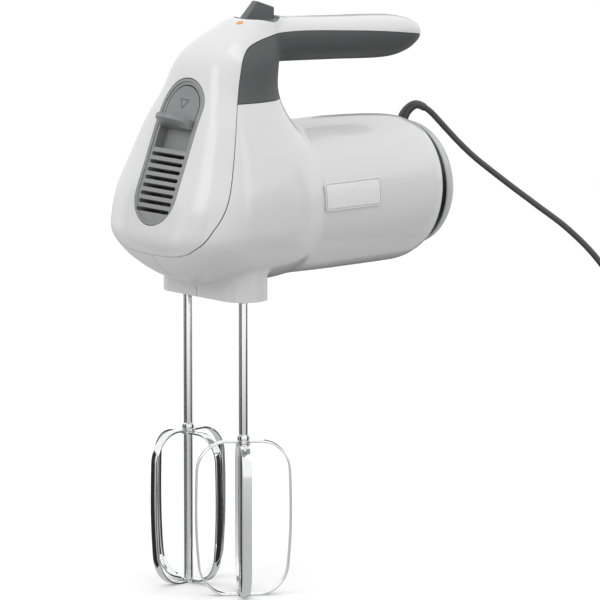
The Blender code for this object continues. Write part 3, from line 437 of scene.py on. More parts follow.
# %% The route and the coil
CORD_WIDTH = 0.0052
CORD_THICKNESS = 0.0032
CORD_ROUTE = (
    (0.1344, 0.0000, 0.2330),
    (0.1344, 0.0000, 0.2400),
    (0.1353, -0.0001, 0.2452),
    (0.1390, -0.0005, 0.2492),
    (0.1430, -0.0018, 0.2510),
    (0.1468, -0.0040, 0.2494),
    (0.1499, -0.0070, 0.2462),
    (0.1548, -0.0120, 0.2386),
    (0.1590, -0.0185, 0.2308),
    (0.1625, -0.0255, 0.2241),
    (0.1656, -0.0325, 0.2186),
    (0.1703, -0.0490, 0.2085),
    (0.1747, -0.0660, 0.1988),
    (0.1805, -0.0840, 0.1875),
    (0.1883, -0.0990, 0.1720),
    (0.1970, -0.1095, 0.1515),
    (0.2067, -0.1174, 0.1250),
    (0.2160, -0.1233, 0.0960),
    (0.2251, -0.1278, 0.0660),
    (0.2334, -0.1302, 0.0410),
    (0.2424, -0.1311, 0.0250),
    (0.2527, -0.1312, 0.0166),
    (0.2595, -0.1306, 0.0143),
)


def smooth_line(points, steps=6):
    """A Catmull-Rom curve through the points."""
    points = [Vector(p) for p in points]
    padded = [2 * points[0] - points[1], *points, 2 * points[-1] - points[-2]]
    line = []
    for a, b, c, d in zip(padded, padded[1:], padded[2:], padded[3:]):
        for step in range(steps):
            t = step / steps
            curve = 2 * b + (c - a) * t + (2 * a - 5 * b + 4 * c - d) * t**2 + (3 * b - a - 3 * c + d) * t**3
            line.append(0.5 * curve)
    line.append(points[-1])
    return line


def line_length(points):
    return sum((b - a).length for a, b in zip(points, points[1:]))


def evenly(points, spacing):
    """The same line with its points about one spacing apart."""
    total = line_length(points)
    count = max(2, round(total / spacing))
    wanted = [total * i / count for i in range(1, count)]
    made, travelled = [points[0]], 0.0
    for a, b in zip(points, points[1:]):
        length = (b - a).length
        while wanted and travelled + length >= wanted[0]:
            made.append(a.lerp(b, (wanted.pop(0) - travelled) / length))
        travelled += length
    return made + [points[-1]]


def ease(value):
    """Runs from 0 to 1, slow at both ends."""
    value = min(1.0, max(0.0, value))
    return value * value * (3 - 2 * value)


free_route = smooth_line([at(*p) for p in CORD_ROUTE], 12)
coil_low, coil_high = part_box("cord_coil")
coil_centre = (coil_low + coil_high) / 2
outer_turn = (coil_high.x - coil_low.x) / 2 - CORD_THICKNESS / 2 - 0.0002
TURN_PITCH = CORD_THICKNESS + 0.0001
LOWER_HEIGHT = 0.0035
UPPER_HEIGHT = LOWER_HEIGHT + CORD_WIDTH + 0.0001
TURNS_A_LAYER = 2.5
STEP_DOWN = 0.25


def coil_line():
    """Two layers of turns: inwards on the upper one, down, and outwards on the lower one."""
    landing = free_route[-1] - coil_centre
    start = math.atan2(landing.y, landing.x)
    landing_radius = landing.xy.length
    sweep = (2 * TURNS_A_LAYER + STEP_DOWN) * 2 * math.pi - (start + math.pi / 2)
    count = 400
    points = []
    for i in range(1, count + 1):
        angle = start + sweep * i / count
        turns = sweep * i / count / (2 * math.pi)
        wound_in = min(turns, TURNS_A_LAYER)
        wound_out = max(0.0, turns - TURNS_A_LAYER - STEP_DOWN)
        radius = outer_turn - TURN_PITCH * (wound_in - wound_out)
        radius += (landing_radius - outer_turn) * (1 - ease(turns * 360 / 32))
        height = UPPER_HEIGHT - (UPPER_HEIGHT - LOWER_HEIGHT) * ease((turns - TURNS_A_LAYER) / STEP_DOWN)
        height += (free_route[-1].z - UPPER_HEIGHT) * (1 - ease((turns * 360 - 14) / 46))
        points.append(Vector((
            coil_centre.x + radius * math.cos(angle),
            coil_centre.y + radius * math.sin(angle),
            height,
        )))
    return points


plug_low, plug_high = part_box("plug_body")
neck = Vector(((plug_low.x + plug_high.x) / 2, plug_low.y, 0.0069))
coil_route = coil_line()
last = coil_route[-1]
to_plug = smooth_line([
    last,
    last.lerp(neck, 0.35) + Vector((0.0, 0.0, -0.0006)),
    last.lerp(neck, 0.75) + Vector((0.0, 0.0, 0.0004)),
    neck + Vector((0.0, 0.0030, 0.0)),
], 5)
cord_path = evenly(free_route + coil_route + to_plug[1:], 0.0022)
print("whole cord", round(line_length(cord_path), 3), "m")

# %% The flat flex


def flex_outline():
    """Two round cores side by side: (across the width, across the thickness)."""
    core = CORD_THICKNESS / 2
    offset = CORD_WIDTH / 2 - core
    waist = math.acos(-offset / core)
    points = []
    for side in (1, -1):
        for step in range(9):
            angle = waist * (step / 4 - 1)
            points.append((side * (offset + core * math.cos(angle)), side * core * math.sin(angle)))
    return points


def tube(name, path, outline_at, width_at):
    """A closed tube whose outline and width direction may change along its path."""
    form = bmesh.new()
    rows = []
    for i, point in enumerate(path):
        along = (path[min(i + 1, len(path) - 1)] - path[max(i - 1, 0)]).normalized()
        across = width_at[i]
        across = (across - along * across.dot(along)).normalized()
        thin = along.cross(across)
        rows.append([form.verts.new(point + across * a + thin * b) for a, b in outline_at(i)])
    for lower, upper in zip(rows, rows[1:]):
        for i in range(len(lower)):
            j = (i + 1) % len(lower)
            form.faces.new((lower[i], lower[j], upper[j], upper[i]))
    form.faces.new(rows[0])
    form.faces.new(rows[-1])
    bmesh.ops.recalc_face_normals(form, faces=form.faces)
    mesh = bpy.data.meshes.new(name)
    form.to_mesh(mesh)
    form.free()
    made = bpy.data.objects.new(name, mesh)
    bpy.context.scene.collection.objects.link(made)
    return made


def carried(path, first):
    """A direction carried along the path without twisting."""
    made = [first]
    for i in range(1, len(path)):
        along = (path[min(i + 1, len(path) - 1)] - path[i - 1]).normalized()
        made.append((made[-1] - along * made[-1].dot(along)).normalized())
    return made


widths = carried(cord_path, Vector((0.0, 1.0, 0.0)))
upright = Vector((0.0, 0.0, 1.0))
landing_index = min(range(len(cord_path)), key=lambda i: (cord_path[i] - free_route[-1]).length)
for i in range(len(cord_path)):
    along = (cord_path[min(i + 1, len(cord_path) - 1)] - cord_path[max(i - 1, 0)]).normalized()
    goal = (upright - along * upright.dot(along)).normalized()
    if goal.dot(widths[i]) < 0 and i < landing_index:
        goal = -goal
    share = ease((i / landing_index - 0.55) / 0.42)
    turned = widths[i].lerp(goal, share) if share < 1 else upright
    widths[i] = turned.normalized()
flex = flex_outline()
cord = tube("flat_mains_cord", cord_path, lambda i: flex, widths)
smooth(cord, 50)
dress(cord, "mixer_body", cord_sheath, "cord_sheath", "mains_cord", "cord_coil")

# %% [markdown]
# ## What is on the cord
# Where the cord leaves the heel, a flat sleeve that tapers keeps it from kinking. It is a tube along
# the same route whose oval outline shrinks towards its tip. The plug is a loft of rounded sections
# with ribs on its neck, for the fingers. A band round the coil holds the turns together.

# %% Strain relief
RELIEF_LENGTH = 0.0280
RELIEF_BASE = (0.0035, 0.0027)
RELIEF_TIP = (0.0029, 0.0020)
RELIEF_STEPS = 90


def sleeve_outline(step):
    """An oval that tapers along the sleeve and rounds over at its tip."""
    share = step / RELIEF_STEPS
    tip = 0.86 if step == RELIEF_STEPS else 1.0
    half_a, half_b = (tip * (base + (end - base) * share) for base, end in zip(RELIEF_BASE, RELIEF_TIP))
    return oval(half_a, half_b, 2.3, 40)


relief_path = [p for p in evenly(free_route, RELIEF_LENGTH / RELIEF_STEPS)][: RELIEF_STEPS + 1]
relief_widths = carried(relief_path, Vector((0.0, 1.0, 0.0)))
relief = tube("tapered_strain_relief", relief_path, sleeve_outline, relief_widths)
dress(smooth(relief, 40), "mixer_body", cord_sheath, "cord_sheath", "strain_relief")

# %% Plug body
RIB_PITCH = 0.0028
RIB_GROOVE = 0.0011
RIB_DEPTH = 0.00042


def ribbed(radius, distance, first, last):
    """The radius at a distance along the neck, drawn in between its ribs."""
    in_groove = first < distance < last and (distance - first) % RIB_PITCH < RIB_GROOVE
    return radius - RIB_DEPTH if in_groove else radius


PLUG_STATIONS = (
    # distance from the neck, half width, half height
    (0.0000, 0.0032, 0.0032),
    (0.0050, 0.0038, 0.0038),
    (0.0110, 0.0046, 0.0044),
    (0.0165, 0.0085, 0.0057),
    (0.0225, 0.0150, 0.0066),
    (0.0310, 0.0174, 0.0068),
    (0.0350, 0.0174, 0.0068),
    (0.0360, 0.0168, 0.0062),
)
plug_path = evenly(smooth_line(PLUG_STATIONS, 30), 0.0005)
plug_form = bmesh.new()
plug_rows = []
for distance, half_width, half_height in plug_path:
    half_width = ribbed(half_width, distance, 0.0010, 0.0120)
    half_height = ribbed(half_height, distance, 0.0010, 0.0120)
    row = []
    for step in range(48):
        c, sine = math.cos(2 * math.pi * step / 48), math.sin(2 * math.pi * step / 48)
        x = math.copysign(abs(c) ** 0.77, c) * half_width
        z = math.copysign(abs(sine) ** 0.77, sine) * half_height
        row.append(plug_form.verts.new(neck + Vector((x, distance, z))))
    plug_rows.append(row)
for first, second in zip(plug_rows, plug_rows[1:]):
    for i in range(48):
        plug_form.faces.new((first[i], first[i - 1], second[i - 1], second[i]))
plug_form.faces.new(plug_rows[0])
plug_form.faces.new(plug_rows[-1])
bmesh.ops.recalc_face_normals(plug_form, faces=plug_form.faces)
plug_mesh = bpy.data.meshes.new("moulded_plug")
plug_form.to_mesh(plug_mesh)
plug_form.free()
plug = bpy.data.objects.new("moulded_plug", plug_mesh)
bpy.context.scene.collection.objects.link(plug)
dress(smooth(plug, 35), "mixer_body", black_plastic, "black_ring", "plug_body")

# %% Band round the coil
TIE_ANGLE = math.radians(150)
TIE_WIDTH = 0.0050
TIE_THICKNESS = 0.0006
outwards = Vector((math.cos(TIE_ANGLE), math.sin(TIE_ANGLE), 0.0))
along_turn = Vector((-outwards.y, outwards.x, 0.0))
inner_turn = outer_turn - TURNS_A_LAYER * TURN_PITCH
tie_radius = (outer_turn + inner_turn) / 2
tie_height = (LOWER_HEIGHT + UPPER_HEIGHT) / 2
tie_inner = (outer_turn - inner_turn + CORD_THICKNESS + 0.0006, UPPER_HEIGHT - LOWER_HEIGHT + CORD_WIDTH + 0.0004)


def rounded_rectangle(width, height, corner, arc_steps=8):
    points = []
    for quarter, (sx, sy) in enumerate(((1, 1), (-1, 1), (-1, -1), (1, -1))):
        for step in range(arc_steps + 1):
            angle = math.pi / 2 * (quarter + step / arc_steps)
            x = sx * (width / 2 - corner) + corner * math.cos(angle)
            points.append((x, sy * (height / 2 - corner) + corner * math.sin(angle)))
    return points


def band_block(name, size, corner, depth):
    middle = Vector((coil_centre.x, coil_centre.y, tie_height)) + outwards * tie_radius
    outline = rounded_rectangle(*size, corner)
    return slab(name, outline, along_turn * depth, lambda a, b: middle + outwards * a + upright * b)


tie = band_block("coil_band", [size + 2 * TIE_THICKNESS for size in tie_inner], 0.0022, TIE_WIDTH)
cut(tie, band_block("coil_band_inside", tie_inner, 0.0016, 2 * TIE_WIDTH))
dress(smooth(tie, 30), "mixer_body", black_plastic, "black_ring")

# %% [markdown]
# ## The outer form of the body
# The real housing is one flowing form: a blunt nose that leans back, a round motor barrel behind it, a
# handle on a post above, and a collar for the beaters below. It could be sculpted freely, but sections
# measured along each limb keep it true to size. Circles are added, shaped into those sections and
# bridged. Then the four limbs are melted together by a voxel remesh, and smoothing rounds the hollows
# where they meet, as the mould does.

# %% Sections and lofts
NOSE = (
    # height, front, rear, half width, place of the widest line, squareness of the front
    (0.1675, -0.0122, 0.0400, 0.0094, 0.40, 2.4),
    (0.1695, -0.0214, 0.0480, 0.0178, 0.40, 2.5),
    (0.1740, -0.0305, 0.0530, 0.0289, 0.38, 2.6),
    (0.1800, -0.0380, 0.0580, 0.0384, 0.36, 2.7),
    (0.1870, -0.0438, 0.0620, 0.0451, 0.34, 2.8),
    (0.1950, -0.0472, 0.0650, 0.0493, 0.32, 2.9),
    (0.2030, -0.0459, 0.0670, 0.0507, 0.31, 3.0),
    (0.2180, -0.0417, 0.0669, 0.0498, 0.30, 3.1),
    (0.2360, -0.0346, 0.0580, 0.0442, 0.30, 3.1),
    (0.2550, -0.0272, 0.0410, 0.0367, 0.30, 3.1),
    (0.2700, -0.0206, 0.0350, 0.0298, 0.32, 3.0),
    (0.2870, -0.0146, 0.0376, 0.0250, 0.36, 2.8),
    (0.2960, -0.0071, 0.0398, 0.0198, 0.40, 2.6),
    (0.3035, 0.0050, 0.0430, 0.0145, 0.42, 2.4),
    (0.3070, 0.0120, 0.0450, 0.0122, 0.45, 2.4),
    (0.3080, 0.0142, 0.0440, 0.0112, 0.45, 2.4),
)
NOSE_REAR_SQUARENESS = 2.3
BARREL = (
    # distance, centre height, radius
    (0.0040, 0.2060, 0.0350),
    (0.0300, 0.2085, 0.0400),
    (0.0600, 0.2090, 0.0414),
    (0.0900, 0.2086, 0.0411),
    (0.1120, 0.2079, 0.0404),
    (0.1240, 0.2072, 0.0394),
    (0.1302, 0.2070, 0.0374),
)
RIM_LEAN = 0.094
HANDLE = (
    # distance, underside, top, half width
    (0.0120, 0.2850, 0.3060, 0.0128),
    (0.0300, 0.2835, 0.3072, 0.0145),
    (0.0460, 0.2830, 0.3070, 0.0154),
    (0.0800, 0.2813, 0.3048, 0.0156),
    (0.1140, 0.2795, 0.3029, 0.0154),
    (0.1280, 0.2815, 0.3014, 0.0145),
    (0.1360, 0.2852, 0.2988, 0.0120),
    (0.1405, 0.2880, 0.2956, 0.0080),
    (0.1420, 0.2900, 0.2935, 0.0045),
)
HANDLE_SQUARENESS = 2.6
COLLAR_RADIUS = 0.0130
COLLAR_BOTTOM = 0.1610
COLLAR_TOP = 0.1840


def nose_ring(height, front, rear, half_width, share, squareness):
    widest = front + share * (rear - front)
    ring = []
    for c, s in oval(1.0, 1.0, 2.0):
        reach, power = (widest - front, squareness) if c < 0 else (rear - widest, NOSE_REAR_SQUARENESS)
        x = widest + math.copysign(abs(c) ** (2 / power), c) * reach
        ring.append(at(x, math.copysign(abs(s) ** (2 / power), s) * half_width, height))
    return ring


def barrel_ring(x, height, radius):
    start, rim = BARREL[0][0], BARREL[-1][0]
    lean = RIM_LEAN * min(1.0, (x - start) / (rim - start)) ** 3
    return [at(x + lean * b, a, height + b) for a, b in oval(radius, radius, 2.0)]


def handle_ring(x, underside, top, half_width):
    middle, half_height = (underside + top) / 2, (top - underside) / 2
    return [at(x, a, middle + b) for a, b in oval(half_width, half_height, HANDLE_SQUARENESS, 64)]


def stadium(length, radius, arc_steps=24):
    """A slot outline along its second coordinate, length end to end."""
    points = []
    for end, centre in ((0, length / 2 - radius), (1, radius - length / 2)):
        for step in range(arc_steps + 1):
            angle = math.pi * (end + step / arc_steps)
            points.append((radius * math.cos(angle), centre + radius * math.sin(angle)))
    return points


nose = loft("nose_limb", [nose_ring(*row) for row in smooth_line(NOSE, 5)])
past_the_rim = (BARREL[-1][0] + 0.012, BARREL[-1][1], BARREL[-1][2] - 0.0035)
barrel = loft("barrel_limb", [barrel_ring(*row) for row in smooth_line(BARREL + (past_the_rim,), 6)])
handle = loft("handle_limb", [handle_ring(*row) for row in smooth_line(HANDLE, 5)])
collar_outline = stadium(2 * (AXIS_Y + COLLAR_RADIUS), COLLAR_RADIUS)
collar_depth = COLLAR_TOP - COLLAR_BOTTOM + 0.006
collar = slab(
    "collar_limb", collar_outline, (0.0, 0.0, collar_depth), lambda a, b: at(a, b, COLLAR_TOP - collar_depth / 2)
)
print("limbs:", [len(o.data.polygons) for o in (nose, barrel, handle, collar)], "faces")

# %% Melting the limbs together
VOXEL = 0.0012


def soften(obj, name, iterations, weight):
    """Smooths a shape more where weight(place) is near 1."""
    group = obj.vertex_groups.new(name=name)
    for vertex in obj.data.vertices:
        amount = weight(vertex.co)
        if amount > 0.01:
            group.add([vertex.index], amount, "REPLACE")
    shape_with(obj, "SMOOTH", iterations=iterations, factor=0.5, vertex_group=name)
    obj.vertex_groups.clear()


def near(place, centre, reach):
    """1 at a centre, falling to 0 at the reach."""
    return 1.0 - ease((place - centre).length / reach)


def hollow_weight(place):
    """Where the post rises from the barrel, and where the nose runs into it at the sides."""
    saddle = near(Vector((place.x, 0.0, place.z)), at(0.0470, 0.0, 0.2500), 0.026)
    shoulder = 1.0 - ease(abs(place.x - BEATER_X - 0.052) / 0.030)
    return max(saddle, shoulder * (1.0 if place.z < 0.262 else 0.0))


def armpit_weight(place):
    """Under the front end of the handle."""
    return near(Vector((place.x, 0.0, place.z)), at(0.0410, 0.0, 0.2800), 0.013)


skin = joined(nose, barrel, handle, collar)
skin.name = "body_skin"
shape_with(skin, "REMESH", mode="VOXEL", voxel_size=VOXEL)
shape_with(skin, "SMOOTH", iterations=8, factor=0.5)
soften(skin, "hollow", 70, hollow_weight)
soften(skin, "armpit", 25, armpit_weight)
print("skin:", len(skin.data.polygons), "faces")

# %% [markdown]
# ## Splitting the body along its seams
# On the bench the body comes apart into four mouldings: two housing halves that meet on the middle
# plane, a nose cover that runs back over the handle, and a soft grip under it. Each is the same skin
# crossed with its own region, so they fit one another along a thin, even gap. The faces that the cut
# made are taken away and the open skin gets a wall, as a real shell has.

# %% Seams and regions
SEAM_ON_HANDLE = (
    (0.1500, 0.2896),
    (0.1100, 0.2950),
    (0.0760, 0.2982),
    (0.0500, 0.3001),
    (0.0340, 0.3002),
    (0.0220, 0.2990),
    (0.0140, 0.2975),
    (0.0075, 0.2955),
    (0.0025, 0.2922),
    (-0.0015, 0.2875),
    (-0.0050, 0.2800),
    (-0.0082, 0.2715),
    (-0.0100, 0.2672),
)
COVER_EDGE = 0.1860
SEAM_ON_NOSE = (
    (-0.0100, 0.2672),
    (-0.0155, 0.2550),
    (-0.0210, 0.2400),
    (-0.0260, 0.2265),
    (-0.0320, 0.2125),
    (-0.0375, 0.2025),
    (-0.0415, 0.1940),
    (-0.0425, 0.1895),
    (-0.0440, 0.1866),
    (-0.0480, COVER_EDGE),
    (-0.0700, COVER_EDGE),
)
POST_SEAM_REAR = (0.0700, 0.2652)
HALF_GAP = 0.00016
WALL = 0.0022
FRONT, REAR, ABOVE, BELOW = -0.09, 0.17, 0.34, 0.13
cut_mark = flat_look("cut_mark", (1.0, 0.0, 0.0))


def shifted_line(points, distance):
    """The line moved sideways, to its left when distance is positive."""
    moved = []
    for i, point in enumerate(points):
        along = (points[min(i + 1, len(points) - 1)] - points[max(i - 1, 0)]).normalized()
        moved.append(point + distance * Vector((-along.y, along.x)))
    return moved


def mitred(first, second):
    """Two lines run together where the end of one and the start of the other cross."""
    ends = [point.to_3d() for point in (first[-2], first[-1], second[0], second[1])]
    corner = geometry.intersect_line_line(*ends)[0].to_2d()
    return first[:-1] + [corner] + second[1:]


def region(name, outline):
    made = slab(name, [tuple(p) for p in outline], (0.0, 0.16, 0.0))
    made.data.materials.append(cut_mark)
    return made


upper = smooth_line(SEAM_ON_HANDLE, 5)
lower = smooth_line(SEAM_ON_NOSE, 5)
post = [Vector(SEAM_ON_NOSE[0]), Vector(POST_SEAM_REAR)]
cover_line = shifted_line(upper + lower[1:], -HALF_GAP) + [Vector((FRONT, COVER_EDGE + HALF_GAP))]
cover_region = region("cover_region", cover_line + [Vector((FRONT, ABOVE)), Vector((REAR, ABOVE)), Vector((REAR, 0.2896))])
grip_line = mitred(shifted_line(upper, HALF_GAP), shifted_line(post, HALF_GAP))
grip_region = region("grip_region", grip_line + [Vector((REAR, POST_SEAM_REAR[1])), Vector((REAR, 0.2880))])
housing_line = mitred(list(reversed(shifted_line(post, -HALF_GAP))), shifted_line(lower, HALF_GAP))
housing_line += [Vector((FRONT, COVER_EDGE - HALF_GAP)), Vector((FRONT, BELOW)), Vector((REAR, BELOW))]
housing_region = region("housing_region", housing_line + [Vector((REAR, POST_SEAM_REAR[1] - 2 * HALF_GAP))])
print("seam of", round(line_length(upper) + line_length(lower), 3), "m round the nose cover")

# %% The four mouldings


def box_tool(name, low, high):
    """A box between two corners, used as a tool."""
    low, high = Vector(low), Vector(high)
    bpy.ops.mesh.primitive_cube_add(size=1.0, location=(low + high) / 2, scale=high - low)
    made = settle(added(name))
    made.data.materials.append(cut_mark)
    return made


def rod_tool(name, centre, radius, depth, turn=(0.0, 0.0, 0.0), vertices=48):
    """A round rod, used as a tool."""
    bpy.ops.mesh.primitive_cylinder_add(
        vertices=vertices, radius=radius, depth=depth, location=centre, rotation=turn
    )
    made = settle(added(name))
    made.data.materials.append(cut_mark)
    return made


def shell_of(name, region_tool, others=(), wall=WALL):
    """The part of the skin inside a region, opened along its cuts and given a wall."""
    made = duplicate(skin, name)
    cut(made, region_tool, "INTERSECT")
    for tool, operation in others:
        cut(made, tool, operation)
    marked = made.data.materials.find("cut_mark")
    start_edit(made)
    form = bmesh.from_edit_mesh(made.data)
    for face in form.faces:
        face.select_set(face.material_index == marked)
    bmesh.update_edit_mesh(made.data)
    bpy.ops.mesh.delete(type="FACE")
    bpy.ops.mesh.select_all(action="SELECT")
    bpy.ops.mesh.remove_doubles(threshold=0.00002)
    end_edit()
    shape_with(made, "SOLIDIFY", thickness=wall, offset=-1.0, use_rim=True)
    return even_shine(made, 40)


skin.data.materials.append(white_shell)
SLOPE_CENTRE = at(-0.03243, 0.0, 0.24114)
SLOPE_ANGLE = math.radians(21.5)
UP_SLOPE = Vector((math.sin(SLOPE_ANGLE), 0.0, math.cos(SLOPE_ANGLE)))
OUT = Vector((-math.cos(SLOPE_ANGLE), 0.0, math.sin(SLOPE_ANGLE)))
ACROSS = UP_SLOPE.cross(OUT)


def slope(a, b, c=0.0):
    """A point on the nose's slope: across it, up it and out of it."""
    return SLOPE_CENTRE + ACROSS * a + UP_SLOPE * b + OUT * c


def slope_slab(name, outline, low, high):
    """An outline on the slope, between two heights above it."""
    return slab(name, outline, OUT * (high - low), lambda a, b: slope(a, b, (low + high) / 2))


PANEL_LENGTH = 0.0808
PANEL_WIDTH = 0.0330
PANEL_GAP = 0.0004
SELECTOR = at(0.0295, 0.0, 0.3051)
SELECTOR_RADIUS = 0.0120
MARK = at(0.0125, -0.0060, 0.30664)
MARK_RADIUS = 0.00145
MARK_TILT = (math.radians(14.4), math.radians(-21.9), 0.0)
RELIEF_X = 0.1348
SCREW_PLACES = ((0.0400, 0.1800), (-0.0270, 0.1960), (0.0120, 0.2570))
LYING = (math.pi / 2, 0.0, 0.0)
SOCKET_RADIUS = 0.0058

window_outline = stadium(PANEL_LENGTH + 2 * PANEL_GAP, PANEL_WIDTH / 2 + PANEL_GAP, 40)
window = slope_slab("panel_window", window_outline, -0.02, 0.02)
window.data.materials.append(cut_mark)
selector_hole = rod_tool("selector_hole", SELECTOR, SELECTOR_RADIUS + PANEL_GAP, 0.012, vertices=96)
selector_hole.data.materials.clear()
nose_cover = shell_of("nose_cover_shell", cover_region, [(window, "DIFFERENCE"), (selector_hole, "DIFFERENCE")])
cut(nose_cover, rod_tool("mark_seat", MARK, MARK_RADIUS + 0.0002, 0.0020, MARK_TILT))
grip = shell_of("soft_grip_shell", grip_region)
rim_height = BARREL[-1][1]
rim = [(BARREL[-1][0] + RIM_LEAN * z, rim_height + z) for z in (-0.06, 0.06)]
halves = []
for side, name in ((-1, "left_housing_shell"), (1, "right_housing_shell")):
    low_y, high_y = sorted((side * HALF_GAP, side * 0.07))
    half = box_tool(name + "_half", (-0.15, low_y, 0.1), (0.13, high_y, 0.35))
    behind = region(name + "_behind", rim + [(REAR + 0.05, rim_height + 0.06), (REAR + 0.05, rim_height - 0.06)])
    mouth = box_tool(name + "_mouth", (-0.15, -0.08, 0.1), (0.13, 0.08, COLLAR_BOTTOM))
    mouth.data.materials.clear()
    socket = rod_tool(name + "_socket", at(0.0, side * AXIS_Y, COLLAR_BOTTOM), SOCKET_RADIUS, 0.02)
    notch = rod_tool(name + "_notch", at(RELIEF_X, 0.0, 0.2435), 0.0042, 0.023)
    tools = [(tool, "DIFFERENCE") for tool in (behind, mouth, socket, notch)]
    if side > 0:
        for number, (x, z) in enumerate(SCREW_PLACES):
            hole = rod_tool(f"screw_way_{number + 1}", at(x, 0.04, z), 0.0033, 0.064, LYING)
            tools.append((hole, "DIFFERENCE"))
    region_copy = duplicate(housing_region, name + "_region")
    halves.append(shell_of(name, region_copy, [(half, "INTERSECT"), *tools]))
bpy.data.objects.remove(housing_region, do_unlink=True)
left_shell, right_shell = halves
dress(nose_cover, "mixer_body", white_shell, "white_shell", "nose_cover")
dress(grip, "mixer_body", dark_grip, "dark_grip", "handle_grip")
dress(left_shell, "mixer_body", white_shell, "white_shell", "left_housing")
dress(right_shell, "mixer_body", white_shell, "white_shell", "right_housing")

# %% [markdown]
# ## The vent panel and the eject slider
# A grey panel lies flush in the slope of the nose. It lets air in through eight slots with round ends,
# and its upper half is a pocket in which the eject slider runs. Both follow the curve of the nose, so
# they are cut from copies of the same skin, drawn inwards a little: a raised rim, a lower field in it,
# and the slider's crown lower still. The slider's thumb shelf is a D-shaped tab with rounded edges.

# %% Vent panel
RIM_DEPTH = 0.0002
FIELD_DEPTH = 0.0008
RIM_WIDTH = 0.0015
POCKET_WIDTH = 0.0262
POCKET_BOTTOM = 0.0015
POCKET_TOP = 0.0372
POCKET_DEPTH = 0.0068
LOUVRE_COUNT = 8
LOUVRE_PITCH = 0.00434
LOUVRE_HEIGHT = 0.0021
LOUVRE_WIDTH = 0.0268
FIRST_LOUVRE = 0.0001


def drawn_in(depth, name="drawn_in_skin"):
    """The body's skin moved inwards by a depth, or outwards if it is negative."""
    made = duplicate(skin, name)
    return shape_with(made, "DISPLACE", strength=-depth, mid_level=0.0, direction="NORMAL")


def above_skin(name, outline, depth):
    """What is over the skin, drawn in to a depth, within an outline on the slope."""
    made = slope_slab(name, outline, -0.012, 0.012)
    return cut(made, drawn_in(depth))


def arch(width, bottom, top):
    """An outline with a square foot and a half-round head."""
    half = width / 2
    head = [(half * math.cos(math.pi * i / 32), top - half + half * math.sin(math.pi * i / 32)) for i in range(33)]
    return [(-half, bottom), (half, bottom)] + head


vent_panel = slope_slab("vent_panel_shell", stadium(PANEL_LENGTH, PANEL_WIDTH / 2, 40), -0.0088, 0.012)
cut(vent_panel, drawn_in(RIM_DEPTH), "INTERSECT")
inner_field = stadium(PANEL_LENGTH - 2 * RIM_WIDTH, PANEL_WIDTH / 2 - RIM_WIDTH, 40)
cut(vent_panel, above_skin("panel_field", inner_field, FIELD_DEPTH))
cut(vent_panel, slope_slab("slider_pocket", arch(POCKET_WIDTH, POCKET_BOTTOM, POCKET_TOP), -POCKET_DEPTH, 0.03))
tongue_way = [(a, b + 0.02275) for a, b in stadium(0.0185, 0.0029, 8)]
cut(vent_panel, slope_slab("tongue_way", tongue_way, -0.02, 0.0))
for number in range(LOUVRE_COUNT):
    middle = FIRST_LOUVRE - LOUVRE_PITCH * (number + 0.5)
    outline = [(b, middle - a) for a, b in stadium(LOUVRE_WIDTH, LOUVRE_HEIGHT / 2, 8)]
    cut(vent_panel, slope_slab("louvre", outline, -0.02, 0.02))
even_shine(vent_panel, 25)
dress(vent_panel, "mixer_body", panel_grey, "panel_grey", "vent_panel")

# %% Eject slider
SLIDER_BOTTOM = 0.0132
SLIDER_CLEARANCE = 0.0006
SLIDER_CROWN = 0.0008
SHELF_LOW = 0.0158
SHELF_HIGH = 0.0182
SHELF_REACH = 0.0112
SHELF_ROOT = 0.0040
ARROW_PLACE = 0.0270
ARROW_SIZE = 0.0037
ARROW_LINE = 0.0005
ARROW_DEPTH = 0.0004


def arrow(size):
    """A triangle that points down the slope."""
    corners = [(-size, size * 0.62), (0.0, -size * 0.85), (size, size * 0.62)]
    return [(a, b + ARROW_PLACE) for a, b in corners]


plate_width = POCKET_WIDTH - 2 * SLIDER_CLEARANCE
slider_floor = 0.0006 - POCKET_DEPTH
plate_outline = arch(plate_width, SLIDER_BOTTOM, POCKET_TOP - SLIDER_CLEARANCE)
slider = slope_slab("eject_slider_plate", plate_outline, slider_floor, 0.02)
cut(slider, drawn_in(SLIDER_CROWN), "INTERSECT")
arrow_line = above_skin("arrow_line", arrow(ARROW_SIZE), SLIDER_CROWN + ARROW_DEPTH)
cut(arrow_line, slope_slab("arrow_middle", arrow(ARROW_SIZE - 2.1 * ARROW_LINE), -0.02, 0.02))
cut(slider, arrow_line)
shelf_half = plate_width / 2 - 0.0001


def shelf_ring(b, reach):
    """The D outline of the thumb shelf at one height up the slope."""
    ring = [slope(-shelf_half, b, -0.0050), slope(shelf_half, b, -0.0050)]
    for step in range(41):
        angle = math.pi * step / 40
        ring.append(slope(shelf_half * math.cos(angle), b, reach * math.sin(angle)))
    return ring


shelf = loft("thumb_shelf", [
    shelf_ring(SLIDER_BOTTOM, SHELF_ROOT),
    shelf_ring((SLIDER_BOTTOM + SHELF_LOW) / 2, (SHELF_ROOT + SHELF_REACH) / 2 - 0.0006),
    shelf_ring(SHELF_LOW, SHELF_REACH),
    shelf_ring(SHELF_HIGH, SHELF_REACH),
])
shape_with(shelf, "BEVEL", width=0.0007, segments=3, limit_method="ANGLE", angle_limit=math.radians(40))
cut(slider, shelf, "UNION")
tongue_outline = [(-0.0022, 0.0255), (0.0022, 0.0255), (0.0022, 0.0300), (-0.0022, 0.0300)]
tongue = slope_slab("tongue", tongue_outline, -0.0170, slider_floor + 0.001)
cut(slider, tongue, "UNION")
even_shine(slider, 30)
dress(slider, "eject_slider", slider_grey, "lever_grey", "eject_slider")

# %% [markdown]
# ## The speed selector
# A low disc turns on top of the nose, and a wedge-shaped fin stands on it for the thumb. The disc is a
# turned profile, made by spinning half of its outline. The fin is a side view extruded through its
# thickness, drawn in at the top and with its edges rounded. In front of it a small orange dot marks
# the setting.

# %% Selector and its mark


